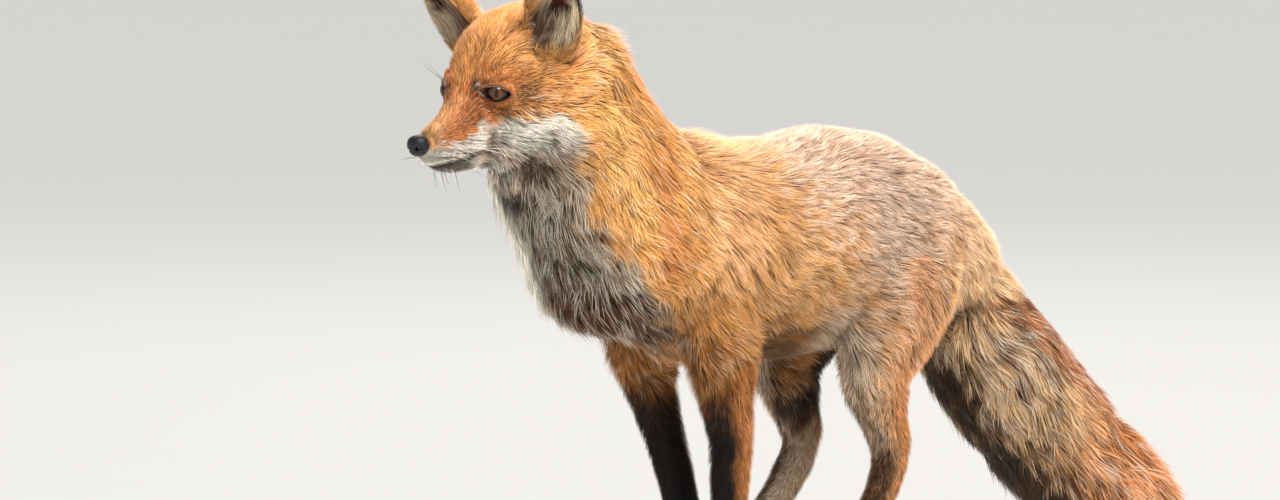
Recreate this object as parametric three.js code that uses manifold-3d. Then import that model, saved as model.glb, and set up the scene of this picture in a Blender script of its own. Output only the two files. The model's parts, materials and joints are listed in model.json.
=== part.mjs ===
// A red fox at life size, standing with its feet close together and its brush down to the floor.
// Millimetres, +Z up. The fox faces -Y and its left side is towards +X.
// Every solid reaches out to the tips of the coat.
import * as THREE from "three";
import { mergeVertices } from "three/addons/utils/BufferGeometryUtils.js";
import Module from "manifold-3d";

const wasm = await Module();
wasm.setup();

// ---- Driving dimensions --------------------------------------------------------------------

const GAP = 0.3; // clearance between neighbouring parts
const PRESS = 2; // how far soles and brush are pressed flat on the floor
const BLOCK = 700; // size of the blocks that part the body

const HEAD_PITCH = THREE.MathUtils.degToRad(12); // nose down
const HEAD_YAW = THREE.MathUtils.degToRad(5); // turned to the fox's left
const HEAD_AT = new THREE.Vector3(4, -173, 415); // midpoint between the eyes
const EYE_RADIUS = 9.6;
const EYE_HALF_SPACING = 25.5;
const EYE_RAISE = 2.4;
const NOSE = { y: -67, z: -25, radii: [10, 8, 8.6] }; // in the head's own frame
const NOSTRIL = { out: 5, ahead: 8, radii: [2.3, 3.2, 1.9] };
const EAR_LENGTH = 86;
const EAR_ROOT = [43, 50, 25]; // in the head's own frame, mirrored for the right ear
const EARS = [
  // side is +1 on the left; outward lean, forward lean and how far the cup looks outward, in degrees
  { name: "ear_left", side: 1, spread: 20, tilt: 9, opening: 28 },
  { name: "ear_right", side: -1, spread: 33, tilt: 7, opening: 6 },
];
const PAWS = [
  // middle of the sole, width and length
  { x: 34, y: 52, width: 44, length: 56 },
  { x: -26, y: 60, width: 42, length: 54 },
  { x: 42, y: 174, width: 39, length: 54 },
  { x: -41, y: 128, width: 39, length: 54 },
];
const TOE_SPLAY = 7; // degrees between neighbouring toes
const CLAW_LENGTH = 11;

// Stations of the lofts are [x, y, z, half width, rise, drop]: rise and drop are the radii on the
// two sides of the path, square to its direction.

const TRUNK = [
  // chest to rump; rise is towards the back, drop towards the belly
  [0, -84, 262, 12, 10, 10],
  [0, -76, 264, 46, 42, 34],
  [0, -48, 277, 68, 76, 62],
  [0, 5, 292, 78, 91, 94],
  [0, 65, 290, 80, 83, 99],
  [0, 130, 288, 79, 83, 98],
  [0, 195, 292, 77, 88, 95],
  [0, 250, 292, 74, 76, 86],
  [0, 288, 282, 67, 56, 74],
  [0, 324, 266, 56, 44, 60],
  [0, 354, 252, 40, 34, 42],
  [0, 368, 246, 18, 14, 18],
];
const NECK = [
  // shoulders to the back of the head; rise is towards the throat, drop towards the nape
  [0, 14, 258, 56, 74, 68],
  [0, -8, 290, 77, 96, 84],
  [0, -34, 330, 74, 88, 75],
  [0, -62, 368, 67, 86, 70],
  [2, -86, 402, 59, 76, 70],
  [3, -104, 428, 54, 60, 72],
  [3, -118, 446, 34, 30, 42],
];
const SKULL = [
  // muzzle to the back of the skull, in the head's own frame
  [0, -66, -28, 7, 7, 7],
  [0, -62, -29, 12, 12, 12],
  [0, -53, -30, 15.5, 17, 20],
  [0, -40, -28, 17.5, 19, 29],
  [0, -26, -24, 19.5, 20, 38],
  [0, -10, -18, 25, 26, 46],
  [0, 8, -12, 36, 43, 48],
  [0, 30, -6, 45, 60, 56],
  [0, 56, -3, 50, 64, 58],
  [0, 82, -4, 49, 59, 54],
  [0, 106, -8, 39, 46, 44],
  [0, 121, -12, 18, 18, 20],
];
const CHEEKS = [
  // both cheeks and their ruffs, in the head's own frame
  [0, -14, -37, 14, 12, 14],
  [0, -4, -36, 26, 22, 22],
  [0, 16, -33, 39, 34, 33],
  [0, 42, -31, 52, 38, 39],
  [0, 68, -32, 60, 37, 44],
  [0, 92, -35, 55, 33, 42],
  [0, 108, -36, 32, 22, 28],
];
const BRUSH = [
  // down from the rump, then along the floor towards the right
  [0, 308, 268, 34, 38, 34],
  [0, 334, 242, 46, 50, 52],
  [2, 366, 204, 54, 50, 62],
  [4, 404, 158, 58, 52, 63],
  [7, 444, 112, 60, 55, 57],
  [6, 490, 72, 60, 54, 52],
  [-6, 534, 48, 55, 46, 47],
  [-29, 572, 34, 45, 35, 36],
  [-54, 602, 22, 31, 22, 24],
  [-76, 625, 11, 12, 8, 10],
];
const LEGS = [
  // left fore leg, shoulder to paw; rise is towards the rear, drop towards the front
  [
    [46, 38, 262, 26, 44, 42],
    [50, 40, 214, 27, 44, 40],
    [50, 47, 172, 21, 30, 28],
    [46, 57, 138, 18, 22, 23],
    [41, 61, 104, 16, 18, 21],
    [38, 62, 74, 15, 16, 17],
    [36, 63, 46, 14.5, 16, 16],
    [35, 62, 24, 16, 15, 18],
    [34, 60, 12, 12, 10, 12],
  ],
  // right fore leg
  [
    [-46, 30, 262, 26, 44, 42],
    [-48, 34, 214, 27, 44, 34],
    [-43, 45, 172, 21, 28, 23],
    [-37, 54, 138, 18, 20, 20],
    [-31, 62, 104, 16, 18, 18],
    [-28, 68, 74, 15, 16, 17],
    [-26, 72, 46, 14.5, 16, 16],
    [-26, 73, 24, 16, 15, 18],
    [-26, 72, 12, 12, 10, 12],
  ],
  // left hind leg, hip to paw
  [
    [38, 272, 312, 22, 40, 44],
    [45, 248, 268, 36, 60, 68],
    [50, 222, 226, 36, 56, 62],
    [51, 206, 184, 27, 44, 40],
    [49, 216, 148, 19, 27, 25],
    [47, 228, 116, 16, 20, 20],
    [45, 222, 88, 14.5, 17, 16],
    [43, 204, 54, 14, 16, 15],
    [42, 190, 28, 15, 15, 16],
    [42, 184, 13, 11, 9, 11],
  ],
  // right hind leg
  [
    [-38, 266, 312, 22, 40, 44],
    [-44, 240, 268, 36, 60, 68],
    [-47, 212, 226, 36, 56, 62],
    [-46, 194, 184, 27, 42, 38],
    [-43, 202, 148, 19, 26, 25],
    [-40, 208, 118, 16, 20, 20],
    [-39, 190, 88, 14.5, 17, 16],
    [-39, 162, 54, 14, 16, 15],
    [-40, 146, 28, 15, 15, 16],
    [-41, 137, 13, 11, 9, 11],
  ],
];

const COAT = {
  rust: { color: "#b8703a", roughness: 0.9 },
  gold: { color: "#cf9a5c", roughness: 0.9 },
  saddle: { color: "#b98f74", roughness: 0.9 },
  cream: { color: "#ded3c4", roughness: 0.92 },
  stocking: { color: "#2b211c", roughness: 0.88 },
  brush: { color: "#a87c52", roughness: 0.92 },
  white: { color: "#ece6dc", roughness: 0.92 },
  nose: { color: "#17161a", roughness: 0.4 },
  eye: { color: "#5a3410", roughness: 0.08 },
};

// ---- Solid helpers -------------------------------------------------------------------------

const UP = new THREE.Vector3(0, 0, 1);
const LEFT = new THREE.Vector3(1, 0, 0);

/** Turns a closed geometry into a manifold solid. */
function solid(geometry) {
  const bare = geometry.clone();
  bare.deleteAttribute("normal");
  bare.deleteAttribute("uv");
  const merged = mergeVertices(bare, 1e-4);
  return new wasm.Manifold(
    new wasm.Mesh({
      numProp: 3,
      vertProperties: new Float32Array(merged.getAttribute("position").array),
      triVerts: new Uint32Array(merged.index.array),
    }),
  );
}

/** Gives the triangles of a solid back as a geometry with flat normals. */
function geometryOf(body) {
  const mesh = body.getMesh();
  const geometry = new THREE.BufferGeometry();
  geometry.setAttribute("position", new THREE.BufferAttribute(mesh.vertProperties, 3));
  geometry.setIndex(new THREE.BufferAttribute(mesh.triVerts, 1));
  const flat = geometry.toNonIndexed();
  flat.computeVertexNormals();
  return flat;
}

/** Joins a list of solids. */
function join(list) {
  return list.reduce((sum, next) => sum.add(next));
}

/** Keeps only the largest separate body of a solid. */
function largest(body) {
  return body.decompose().reduce((best, next) => (next.volume() > best.volume() ? next : best));
}

/** A Catmull-Rom curve through rows of three numbers, read at u from 0 to 1. */
function spline(rows) {
  return new THREE.CatmullRomCurve3(rows.map((row) => new THREE.Vector3(...row)), false, "catmullrom", 0.5);
}

/**
 * A closed body lofted through stations. fullness 1 gives ovals and more than 1 gives squarer
 * sections; across is the direction of the half width; grow adds to every radius.
 */
function loft(stations, { rings, sides, fullness = 1, across = LEFT, grow = 0 }) {
  const path = spline(stations.map((s) => s.slice(0, 3)));
  const radii = spline(stations.map((s) => s.slice(3, 6)));
  const soften = (v) => Math.sign(v) * Math.abs(v) ** (1 / fullness);
  const points = [];
  for (let i = 0; i <= rings; i += 1) {
    const centre = path.getPoint(i / rings);
    const tangent = path.getTangent(i / rings);
    const wide = across.clone().addScaledVector(tangent, -across.dot(tangent)).normalize();
    const high = new THREE.Vector3().crossVectors(wide, tangent);
    const [width, rise, drop] = radii.getPoint(i / rings).toArray().map((r) => Math.max(r, 0.5) + grow);
    for (let j = 0; j < sides; j += 1) {
      const angle = (2 * Math.PI * j) / sides;
      const c = soften(Math.cos(angle)) * width;
      const s = soften(Math.sin(angle));
      points.push(centre.clone().addScaledVector(wide, c).addScaledVector(high, s * (s > 0 ? rise : drop)));
    }
  }
  const start = points.length;
  const last = rings * sides;
  points.push(path.getPoint(0), path.getPoint(1));
  const index = [];
  for (let j = 0; j < sides; j += 1) {
    const k = (j + 1) % sides;
    index.push(start, j, k, start + 1, last + k, last + j);
    for (let ring = 0; ring < last; ring += sides) {
      const [a, b, c, d] = [ring + j, ring + k, ring + sides + j, ring + sides + k];
      index.push(a, c, b, b, c, d);
    }
  }
  const geometry = new THREE.BufferGeometry().setFromPoints(points);
  geometry.setIndex(index);
  return solid(geometry);
}

/** An egg-shaped solid with three radii, turned by Euler angles in degrees. */
function egg(at, radii, turn, around, high) {
  const geometry = new THREE.SphereGeometry(1, around, high);
  geometry.scale(...radii);
  const angles = turn.map((a) => THREE.MathUtils.degToRad(a));
  geometry.applyMatrix4(new THREE.Matrix4().makeRotationFromEuler(new THREE.Euler(...angles)));
  geometry.translate(...at);
  return solid(geometry);
}

/** A block behind a plane through a point; the normal leaves the block. */
function block([point, normal], grow = 0) {
  const geometry = new THREE.BoxGeometry(BLOCK, BLOCK, BLOCK);
  geometry.translate(0, 0, grow - BLOCK / 2);
  const outward = new THREE.Vector3(...normal).normalize();
  geometry.applyQuaternion(new THREE.Quaternion().setFromUnitVectors(UP, outward));
  geometry.translate(...point);
  return solid(geometry);
}

/** The region behind several planes, each given as [point, outward normal]. */
function region(planes, grow = 0) {
  return planes.map((plane) => block(plane, grow)).reduce((sum, next) => sum.intersect(next));
}

// ---- Trunk, neck, brush and legs -----------------------------------------------------------

function trunkSolid() {
  return loft(TRUNK, { rings: 13, sides: 18, fullness: 1.12 });
}

function neckSolid(grow = 0) {
  return loft(NECK, { rings: 10, sides: 18, fullness: 1.05, grow });
}

function brushSolid() {
  return loft(BRUSH, { rings: 13, sides: 14 });
}

function legSolid(stations) {
  return loft(stations, { rings: 13, sides: 10 });
}

/** A paw: the heel pad, four toes and their claws, with its length along -Y. */
function pawSolid({ x, y, width, length }) {
  const toes = [-1.5, -0.5, 0.5, 1.5].flatMap((k) => {
    const toeX = x + k * width * 0.235;
    const toeY = y - length * (Math.abs(k) > 1 ? 0.16 : 0.3);
    const clawY = toeY - length * 0.24;
    const claw = loft(
      [
        [toeX, clawY + 2, 8.8, 2, 2.7, 2.7],
        [toeX, clawY - CLAW_LENGTH * 0.5, 7.8, 1.5, 1.9, 1.9],
        [toeX, clawY - CLAW_LENGTH, 4.2, 0.5, 0.5, 0.5],
      ],
      { rings: 2, sides: 4 },
    );
    const toe = egg([toeX, toeY, 9.5], [width * 0.15, length * 0.27, 11.5], [8, 0, -k * TOE_SPLAY], 6, 4);
    return [toe, claw];
  });
  const heel = egg([x, y + length * 0.12, 10], [width * 0.4, length * 0.34, 13], [0, 0, 0], 8, 5);
  return join([heel, ...toes]);
}

// ---- Head ----------------------------------------------------------------------------------
// The head's own frame has its origin between the eyes, +Y to the rear, +X left and +Z up.

const HEAD_FRAME = new THREE.Matrix4()
  .makeRotationFromEuler(new THREE.Euler(HEAD_PITCH, 0, HEAD_YAW, "ZXY"))
  .setPosition(HEAD_AT);

/** Places a solid made in the head's own frame. */
function onHead(body) {
  return body.transform(HEAD_FRAME.toArray());
}

/** A plane of the head's own frame, given by a point and a normal, in the fox's frame. */
function headPlane(point, normal) {
  return [
    new THREE.Vector3(...point).applyMatrix4(HEAD_FRAME).toArray(),
    new THREE.Vector3(...normal).transformDirection(HEAD_FRAME).toArray(),
  ];
}

function headSolid(grow = 0) {
  const skull = loft(SKULL, { rings: 16, sides: 16, fullness: 1.1, grow });
  const cheeks = loft(CHEEKS, { rings: 8, sides: 14, grow });
  return onHead(skull.add(cheeks));
}

/** The leathery nose pad with two nostrils, or its seat when grown. */
function noseSolid(grow = 0) {
  const pad = egg([0, NOSE.y, NOSE.z], NOSE.radii.map((r) => r + grow), [12, 0, 0], 10, 7);
  if (grow > 0) {
    return onHead(pad);
  }
  const nostrils = [1, -1].map((side) =>
    egg([side * NOSTRIL.out, NOSE.y - NOSTRIL.ahead, NOSE.z], NOSTRIL.radii, [0, 0, side * 30], 8, 6),
  );
  return onHead(pad.subtract(join(nostrils)));
}

/** An eyeball, or its socket when grown. */
function eyeSolid(side, grow = 0) {
  const r = EYE_RADIUS + grow;
  return onHead(egg([side * EYE_HALF_SPACING, 1, EYE_RAISE], [r, r, r], [0, 0, 0], 12, 7));
}

/** An upright ear, cupped forward and outward. */
function earSolid({ side, spread, tilt, opening }) {
  const [out, ahead, turn] = [spread, tilt, side * opening].map((a) => THREE.MathUtils.degToRad(a));
  const root = new THREE.Vector3(side * EAR_ROOT[0], EAR_ROOT[1], EAR_ROOT[2]);
  const lean = new THREE.Vector3(side * Math.sin(out), -Math.sin(ahead), Math.cos(out)).normalize();
  const across = new THREE.Vector3(Math.cos(turn), Math.sin(turn), 0);
  const front = new THREE.Vector3(Math.sin(turn), -Math.cos(turn), 0);
  const at = (t, forward = 0) =>
    root.clone().addScaledVector(lean, t * EAR_LENGTH).addScaledVector(front, forward).toArray();
  const shell = loft(
    [
      [...at(-0.12), 15, 12, 13],
      [...at(0.06), 24, 16, 17],
      [...at(0.28), 27, 14, 18],
      [...at(0.52), 25, 10, 15],
      [...at(0.76), 16, 6, 10],
      [...at(0.94), 6.5, 3, 4.5],
      [...at(1), 2.4, 1.4, 1.8],
    ],
    { rings: 8, sides: 12, across },
  );
  const hollow = loft(
    [
      [...at(0.2, 15), 9, 8, 9],
      [...at(0.32, 13), 21, 13, 14],
      [...at(0.55, 11), 20.5, 12, 11],
      [...at(0.78, 8), 12.5, 9, 8],
      [...at(0.93, 5.5), 5, 5, 4],
      [...at(0.97, 5), 2, 2, 2],
    ],
    { rings: 6, sides: 10, across },
  );
  return onHead(shell.subtract(hollow));
}

// ---- The whole animal, parted --------------------------------------------------------------

/** The whole animal in one piece, with every sole and the end of the brush pressed flat. */
function wholeSolid() {
  const standing = join([brushSolid(), ...LEGS.map(legSolid), ...PAWS.map(pawSolid)]);
  const raised = join([trunkSolid(), neckSolid(), headSolid()]);
  const floor = join([-1, 1].map((end) => block([[0, (end * BLOCK) / 2, 0], [0, 0, 1]])));
  return standing.translate([0, 0, -PRESS]).subtract(floor).add(raised);
}

const nodes = [];
const seats = [eyeSolid(1, GAP), eyeSolid(-1, GAP), noseSolid(GAP)];
let rest = wholeSolid().subtract(join(seats));

/** Parts the region behind some planes from the rest of the animal and keeps it as a node. */
function part(name, coat, planes) {
  nodes.push({ name, coat, piece: largest(rest.intersect(region(planes))) });
  rest = rest.subtract(region(planes, GAP));
}

// The jaw comes off below the mouth, then the muzzle, then the head behind cheeks and throat.
const MOUTH = headPlane([0, -4, -43], [0, 0.05, 1]);
const JAW_END = headPlane([0, 14, 0], [0, 1, -0.4]);
const NAPE = headPlane([0, 96, 0], [0, 1, -0.2]);
const THROAT = headPlane([0, 40, -70], [0, 0.35, -1]);
part("lower_jaw", "cream", [MOUTH, JAW_END]);
part("muzzle", "rust", [headPlane([0, -14, 0], [0, 1, 0])]);
part("head", "rust", [NAPE, THROAT]);

// The neck ends on a slant from the withers to the top of the chest.
part("neck", "rust", [[[0, -30, 320], [0, 0.64, -0.77]]]);

// The brush is parted square to its own direction, from its tip back to the rump.
const BRUSH_CUTS = [
  ["brush_tip", "white", 0.84],
  ["brush_end", "brush", 0.62],
  ["brush_middle", "brush", 0.4],
  ["brush_root", "brush", 0.125],
];
const BEHIND_HOCKS = [[0, 258, 0], [0, -1, 0]];
const brushPath = spline(BRUSH.map((row) => row.slice(0, 3)));
BRUSH_CUTS.forEach(([name, coat, u]) => {
  const square = brushPath.getTangent(u).negate().toArray();
  part(name, coat, [[brushPath.getPoint(u).toArray(), square], BEHIND_HOCKS]);
});

// Each leg is parted from its paw upward, on its own side of the body.
const SIDES = [
  { name: "left", side: 1, betweenFeet: 122 },
  { name: "right", side: -1, betweenFeet: 87 },
];
SIDES.forEach(({ name, side, betweenFeet }) => {
  const own = [[0, 0, 0], [-side, 0, 0]];
  const paw = [[0, betweenFeet, 0], [0, 1, 0]];
  const front = [[0, 118, 0], [0, 1, 0]];
  const beforeTail = [[0, 285, 0], [0, 1, 0]];
  part(`fore_paw_${name}`, "stocking", [[[0, 0, 34], [0, 0, 1]], paw, own]);
  part(`fore_shin_${name}`, "stocking", [[[0, 0, 122], [0, 0, 1]], front, own]);
  part(`fore_leg_${name}`, "rust", [[[side * 30, 45, 190], [-side * 0.5, 0, 0.85]], front, own]);
  part(`hind_paw_${name}`, "stocking", [[[0, 0, 32], [0, 0, 1]], own]);
  part(`hind_foot_${name}`, "rust", [[[0, 215, 110], [0, 0.25, 1]], own]);
  part(`hind_shank_${name}`, "rust", [[[0, 205, 172], [0, -0.3, 1]], own]);
  part(`thigh_${name}`, "rust", [[[side * 30, 165, 188], [-side * 0.35, -0.55, 0.75]], beforeTail, own]);
});
part("rump", "gold", [[[0, 212, 0], [0, -1, 0]]]);
nodes.push({ name: "trunk", coat: "saddle", piece: largest(rest) });

// Ears, eyes and nose are seated in the head with a gap all round.
const scalp = headSolid(GAP).add(neckSolid(GAP));
EARS.forEach((ear) => {
  nodes.push({ name: ear.name, coat: "stocking", piece: largest(earSolid(ear).subtract(scalp)) });
});
nodes.push({ name: "eye_left", coat: "eye", piece: eyeSolid(1) });
nodes.push({ name: "eye_right", coat: "eye", piece: eyeSolid(-1) });
nodes.push({ name: "nose", coat: "nose", piece: noseSolid() });

// ---- Scene graph ---------------------------------------------------------------------------

const group = new THREE.Group();
nodes.forEach(({ name, coat, piece }) => {
  const material = new THREE.MeshStandardMaterial({ ...COAT[coat], metalness: 0 });
  const mesh = new THREE.Mesh(geometryOf(piece), material);
  mesh.name = name;
  group.add(mesh);
});

// The origin is on the floor, under the middle of the animal's box.
const box = new THREE.Box3().setFromObject(group);
const middle = box.getCenter(new THREE.Vector3());
group.position.set(-middle.x, -middle.y, -box.min.z);

export default group;
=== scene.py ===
"""A life-size red fox that stands still, with its head up and its brush down behind it.

One skin replaces the solids of flesh. The coat is joined meshes of closed tufts that grow from that
skin, in zones that each have a lie, a depth and a length. Eyes, nose, claws, pads and whiskers are
pieces of their own. All places come from the frame's nodes; lengths in tables are millimetres.
"""

from __future__ import annotations

import json
import logging
import math
from collections.abc import Callable
from dataclasses import dataclass, field
from enum import Enum

import bpy
import numpy as np
import openvdb
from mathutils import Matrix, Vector, kdtree

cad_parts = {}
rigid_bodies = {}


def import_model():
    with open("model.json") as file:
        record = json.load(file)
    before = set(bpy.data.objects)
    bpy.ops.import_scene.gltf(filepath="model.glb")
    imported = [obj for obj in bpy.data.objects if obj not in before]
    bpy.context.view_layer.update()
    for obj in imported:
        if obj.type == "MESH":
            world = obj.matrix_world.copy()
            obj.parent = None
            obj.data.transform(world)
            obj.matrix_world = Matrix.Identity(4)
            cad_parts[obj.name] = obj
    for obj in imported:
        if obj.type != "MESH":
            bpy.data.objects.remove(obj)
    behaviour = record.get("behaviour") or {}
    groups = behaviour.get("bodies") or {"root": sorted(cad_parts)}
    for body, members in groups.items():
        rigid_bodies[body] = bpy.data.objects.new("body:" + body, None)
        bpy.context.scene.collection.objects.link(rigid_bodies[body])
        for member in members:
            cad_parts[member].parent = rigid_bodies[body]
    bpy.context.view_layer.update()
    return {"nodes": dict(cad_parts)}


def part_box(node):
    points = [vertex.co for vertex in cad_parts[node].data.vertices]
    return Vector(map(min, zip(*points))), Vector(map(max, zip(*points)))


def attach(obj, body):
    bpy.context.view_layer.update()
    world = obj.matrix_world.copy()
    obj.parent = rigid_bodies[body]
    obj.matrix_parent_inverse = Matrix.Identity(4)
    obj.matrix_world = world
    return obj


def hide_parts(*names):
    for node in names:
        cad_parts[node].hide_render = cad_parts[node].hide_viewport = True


Array = np.ndarray
Triple = tuple[float, float, float]
LOG = logging.getLogger("fox")
MM = 0.001
SEPARATE = ("eye_left", "eye_right", "nose")
SIDES = {"left": 1, "right": -1}
BRUSH_NODES = ("brush_root", "brush_middle", "brush_end", "brush_tip")
ALONG_BRUSH = (0, 1, -0.4)
COAT_SLOTS = {
    "coat_rust": ("coat_face", "coat_neck", "coat_ruff", "coat_thighs", "coat_hind_legs"),
    "coat_dark": ("coat_ears", "coat_fore_legs"),
    "coat_cream": ("coat_chest",),
    "coat_saddle": ("coat_back", "coat_flank_left", "coat_flank_right", "coat_rump"),
    "coat_brush": ("coat_brush_root", "coat_brush_middle", "coat_brush_end"),
}


class Tone(Enum):
    """Colours of the coat and skin, as sRGB values out of 255."""

    GOLD = (222, 158, 90)
    HONEY = (246, 190, 112)
    PALE_GOLD = (250, 188, 132)
    OCHRE = (176, 116, 54)
    NAPE = (200, 116, 56)
    FACE = (214, 124, 62)
    CROWN = (252, 172, 98)
    BRIDGE = (250, 188, 130)
    CHEEK = (226, 160, 96)
    SADDLE = (255, 212, 184)
    SADDLE_DARK = (136, 84, 56)
    HAUNCH = (212, 178, 152)
    FLANK = (222, 166, 106)
    # BELLY is darker than the belly's own colour: partly painted shade under the body.
    BELLY = (72, 48, 30)
    BUFF = (255, 209, 162)
    THIGH = (226, 156, 100)
    SHIN_GREY = (214, 192, 168)
    FORELEG = (158, 98, 44)
    # A near-black for the stockings, also used as painted shade on the legs' inner sides and in the groin.
    STOCKING_AND_SHADE = (26, 20, 17)
    HEEL = (222, 146, 88)
    CREAM = (252, 244, 228)
    # BIB is darker than the bib's own colour: partly painted shade.
    BIB = (152, 132, 108)
    # SMOKE gives smoky hair, and also painted shade on the bib and the lower white cheeks.
    SMOKE = (60, 46, 33)
    BRUSH_TOP = (172, 104, 62)
    BRUSH_SIDE = (198, 158, 114)
    BRUSH_UNDER = (36, 22, 12)
    BRUSH_END = (232, 146, 82)
    UMBER = (84, 50, 28)
    LIP = (66, 42, 38)
    EYE_RIM = (20, 14, 13)
    TEAR = (158, 146, 150)
    SORE = (206, 92, 84)
    EAR_BACK = (30, 24, 22)
    EAR_DEEP = (104, 38, 26)
    EAR_HAIR = (214, 192, 158)
    WHITE = (248, 240, 226)

    @property
    def linear(self) -> Array:
        """The tone as linear light."""
        value = np.array(self.value) / 255.0
        return np.where(value <= 0.04045, value / 12.92, ((value + 0.055) / 1.055) ** 2.4)

    @property
    def rgba(self) -> tuple[float, float, float, float]:
        """The tone as a shader colour."""
        red, green, blue = self.linear
        return (float(red), float(green), float(blue), 1.0)


# ---- Small maths ----


def unit(vectors: Array) -> Array:
    """Vectors scaled to length 1."""
    return vectors / np.maximum(np.linalg.norm(vectors, axis=-1, keepdims=True), 1e-9)


def norms(vectors: Array) -> Array:
    """The length of each vector."""
    return np.linalg.norm(vectors, axis=1)


def smooth(low: float, high: float, values: Array) -> Array:
    """A soft step from 0 at low to 1 at high."""
    t = np.clip((values - low) / (high - low), 0.0, 1.0)
    return t * t * (3.0 - 2.0 * t)


def ripple(points: Array, wavelength: float, seed: int) -> Array:
    """A smooth random field, mostly between -1 and 1.

    Args:
        points: places, in metres.
        wavelength: typical length of a ripple, in metres.
        seed: which field.

    Returns:
        One value for each point.
    """
    waves, spread = 7, 2.6
    rng = np.random.default_rng(seed)
    total = np.zeros(len(points))
    for _ in range(waves):
        wave = unit(rng.normal(size=3)) * 2.0 * math.pi / wavelength * rng.uniform(0.6, 1.7)
        total += np.sin(points @ wave + rng.uniform(0.0, 2.0 * math.pi))
    return total / spread


def turns(count: int) -> Array:
    """Angles that share out a full turn evenly, in radians."""
    return np.arange(count) * 2 * math.pi / count


def mixed(base: Array, tone: Tone, mask: Array) -> Array:
    """Colours blended towards a tone where the mask is 1."""
    return base + (tone.linear - base) * mask[:, None]


# ---- Places ----


class Landmarks:
    """Places on the fox, worked out from the boxes and vertices of the frame's nodes."""

    EYE_RAISE = 2.4
    MUZZLE_DROOP = math.atan2(27.4, 67)

    def __init__(self, nodes: dict[str, bpy.types.Object]) -> None:
        """Reads the frame's node objects, which are given by name."""
        self.vertices: dict[str, Array] = {}
        self.triangles: dict[str, Array] = {}
        for name, node in nodes.items():
            mesh = node.data
            points = np.empty(len(mesh.vertices) * 3, np.float32)
            mesh.vertices.foreach_get("co", points)
            mesh.calc_loop_triangles()
            corners = np.empty(len(mesh.loop_triangles) * 3, np.int32)
            mesh.loop_triangles.foreach_get("vertices", corners)
            self.vertices[name] = points.reshape(-1, 3).astype(float)
            self.triangles[name] = corners.reshape(-1, 3)
        self.boxes = {name: (np.array(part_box(name)[0]), np.array(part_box(name)[1])) for name in nodes}
        left, right = (self.centre(f"eye_{side}") for side in SIDES)
        self.head_at = (left + right) / 2.0
        across = unit(left - right)
        ahead = self.centre("nose") - self.head_at
        ahead = unit(ahead - across * (ahead @ across))
        above = np.cross(across, -ahead)
        turn = self.MUZZLE_DROOP
        rear = -math.cos(turn) * ahead - math.sin(turn) * above
        self.head_axes = np.array([across, rear, np.cross(across, rear)])
        self.head_at = self.head_at - self.head_axes[2] * self.EYE_RAISE * MM

    def centre(self, node: str) -> Array:
        """The middle of a node's box."""
        low, high = self.boxes[node]
        return (low + high) / 2.0

    def at(self, node: str, across: float, along: float, up: float) -> Array:
        """A place in a node's box, from 0 to 1 along each side."""
        low, high = self.boxes[node]
        return low + (high - low) * np.array([across, along, up])

    def on_head(self, left: float, rear: float, up: float) -> Array:
        """A place in the head's own frame, in millimetres from between the eyes."""
        return self.head_at + np.array([left, rear, up]) * MM @ self.head_axes

    def head_lie(self, left: float, rear: float, up: float) -> Array:
        """A direction of the head's own frame."""
        return unit(np.array([left, rear, up]) @ self.head_axes)

    def from_head(self, points: Array) -> Array:
        """Points as millimetres left, to the rear and up in the head's own frame."""
        return (points - self.head_at) @ self.head_axes.T / MM

    def behind_eyes(self, points: Array) -> Array:
        """How far points lie to the rear of the eyes along the body, in metres."""
        return points[:, 1] - self.head_at[1]

    def bone(self, node: str, towards: Triple) -> tuple[Array, Array, float]:
        """The line down the middle of a node, between the middles of its two end stretches.

        Args:
            node: the node's name.
            towards: rough direction from its start to its end.

        Returns:
            Start, end and mean radius.
        """
        points = self.vertices[node]
        run = points @ unit(np.array(towards, float))
        run = (run - run.min()) / np.ptp(run)
        first, last = (points[near] for near in (run < 0.3, run > 0.7))
        start, end = ((stretch.min(0) + stretch.max(0)) / 2 for stretch in (first, last))
        axis = unit(end - start)
        off = norms(points - start - ((points - start) @ axis)[:, None] * axis)
        return start, end, float(off.mean())


# ---- How the coat grows ----


@dataclass(frozen=True)
class Growth:
    """The coat of one zone: millimetres, tufts per square centimetre, and 0 to 1 for clump."""

    depth: float
    length: float
    width: float
    density: float
    clump: float = 0.45


@dataclass(frozen=True)
class Zone:
    """A stretch of the body round one line, with its coat and the way that it lies."""

    piece: str
    start: Array
    end: Array
    radius: float
    lie: Array
    growth: Growth


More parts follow.
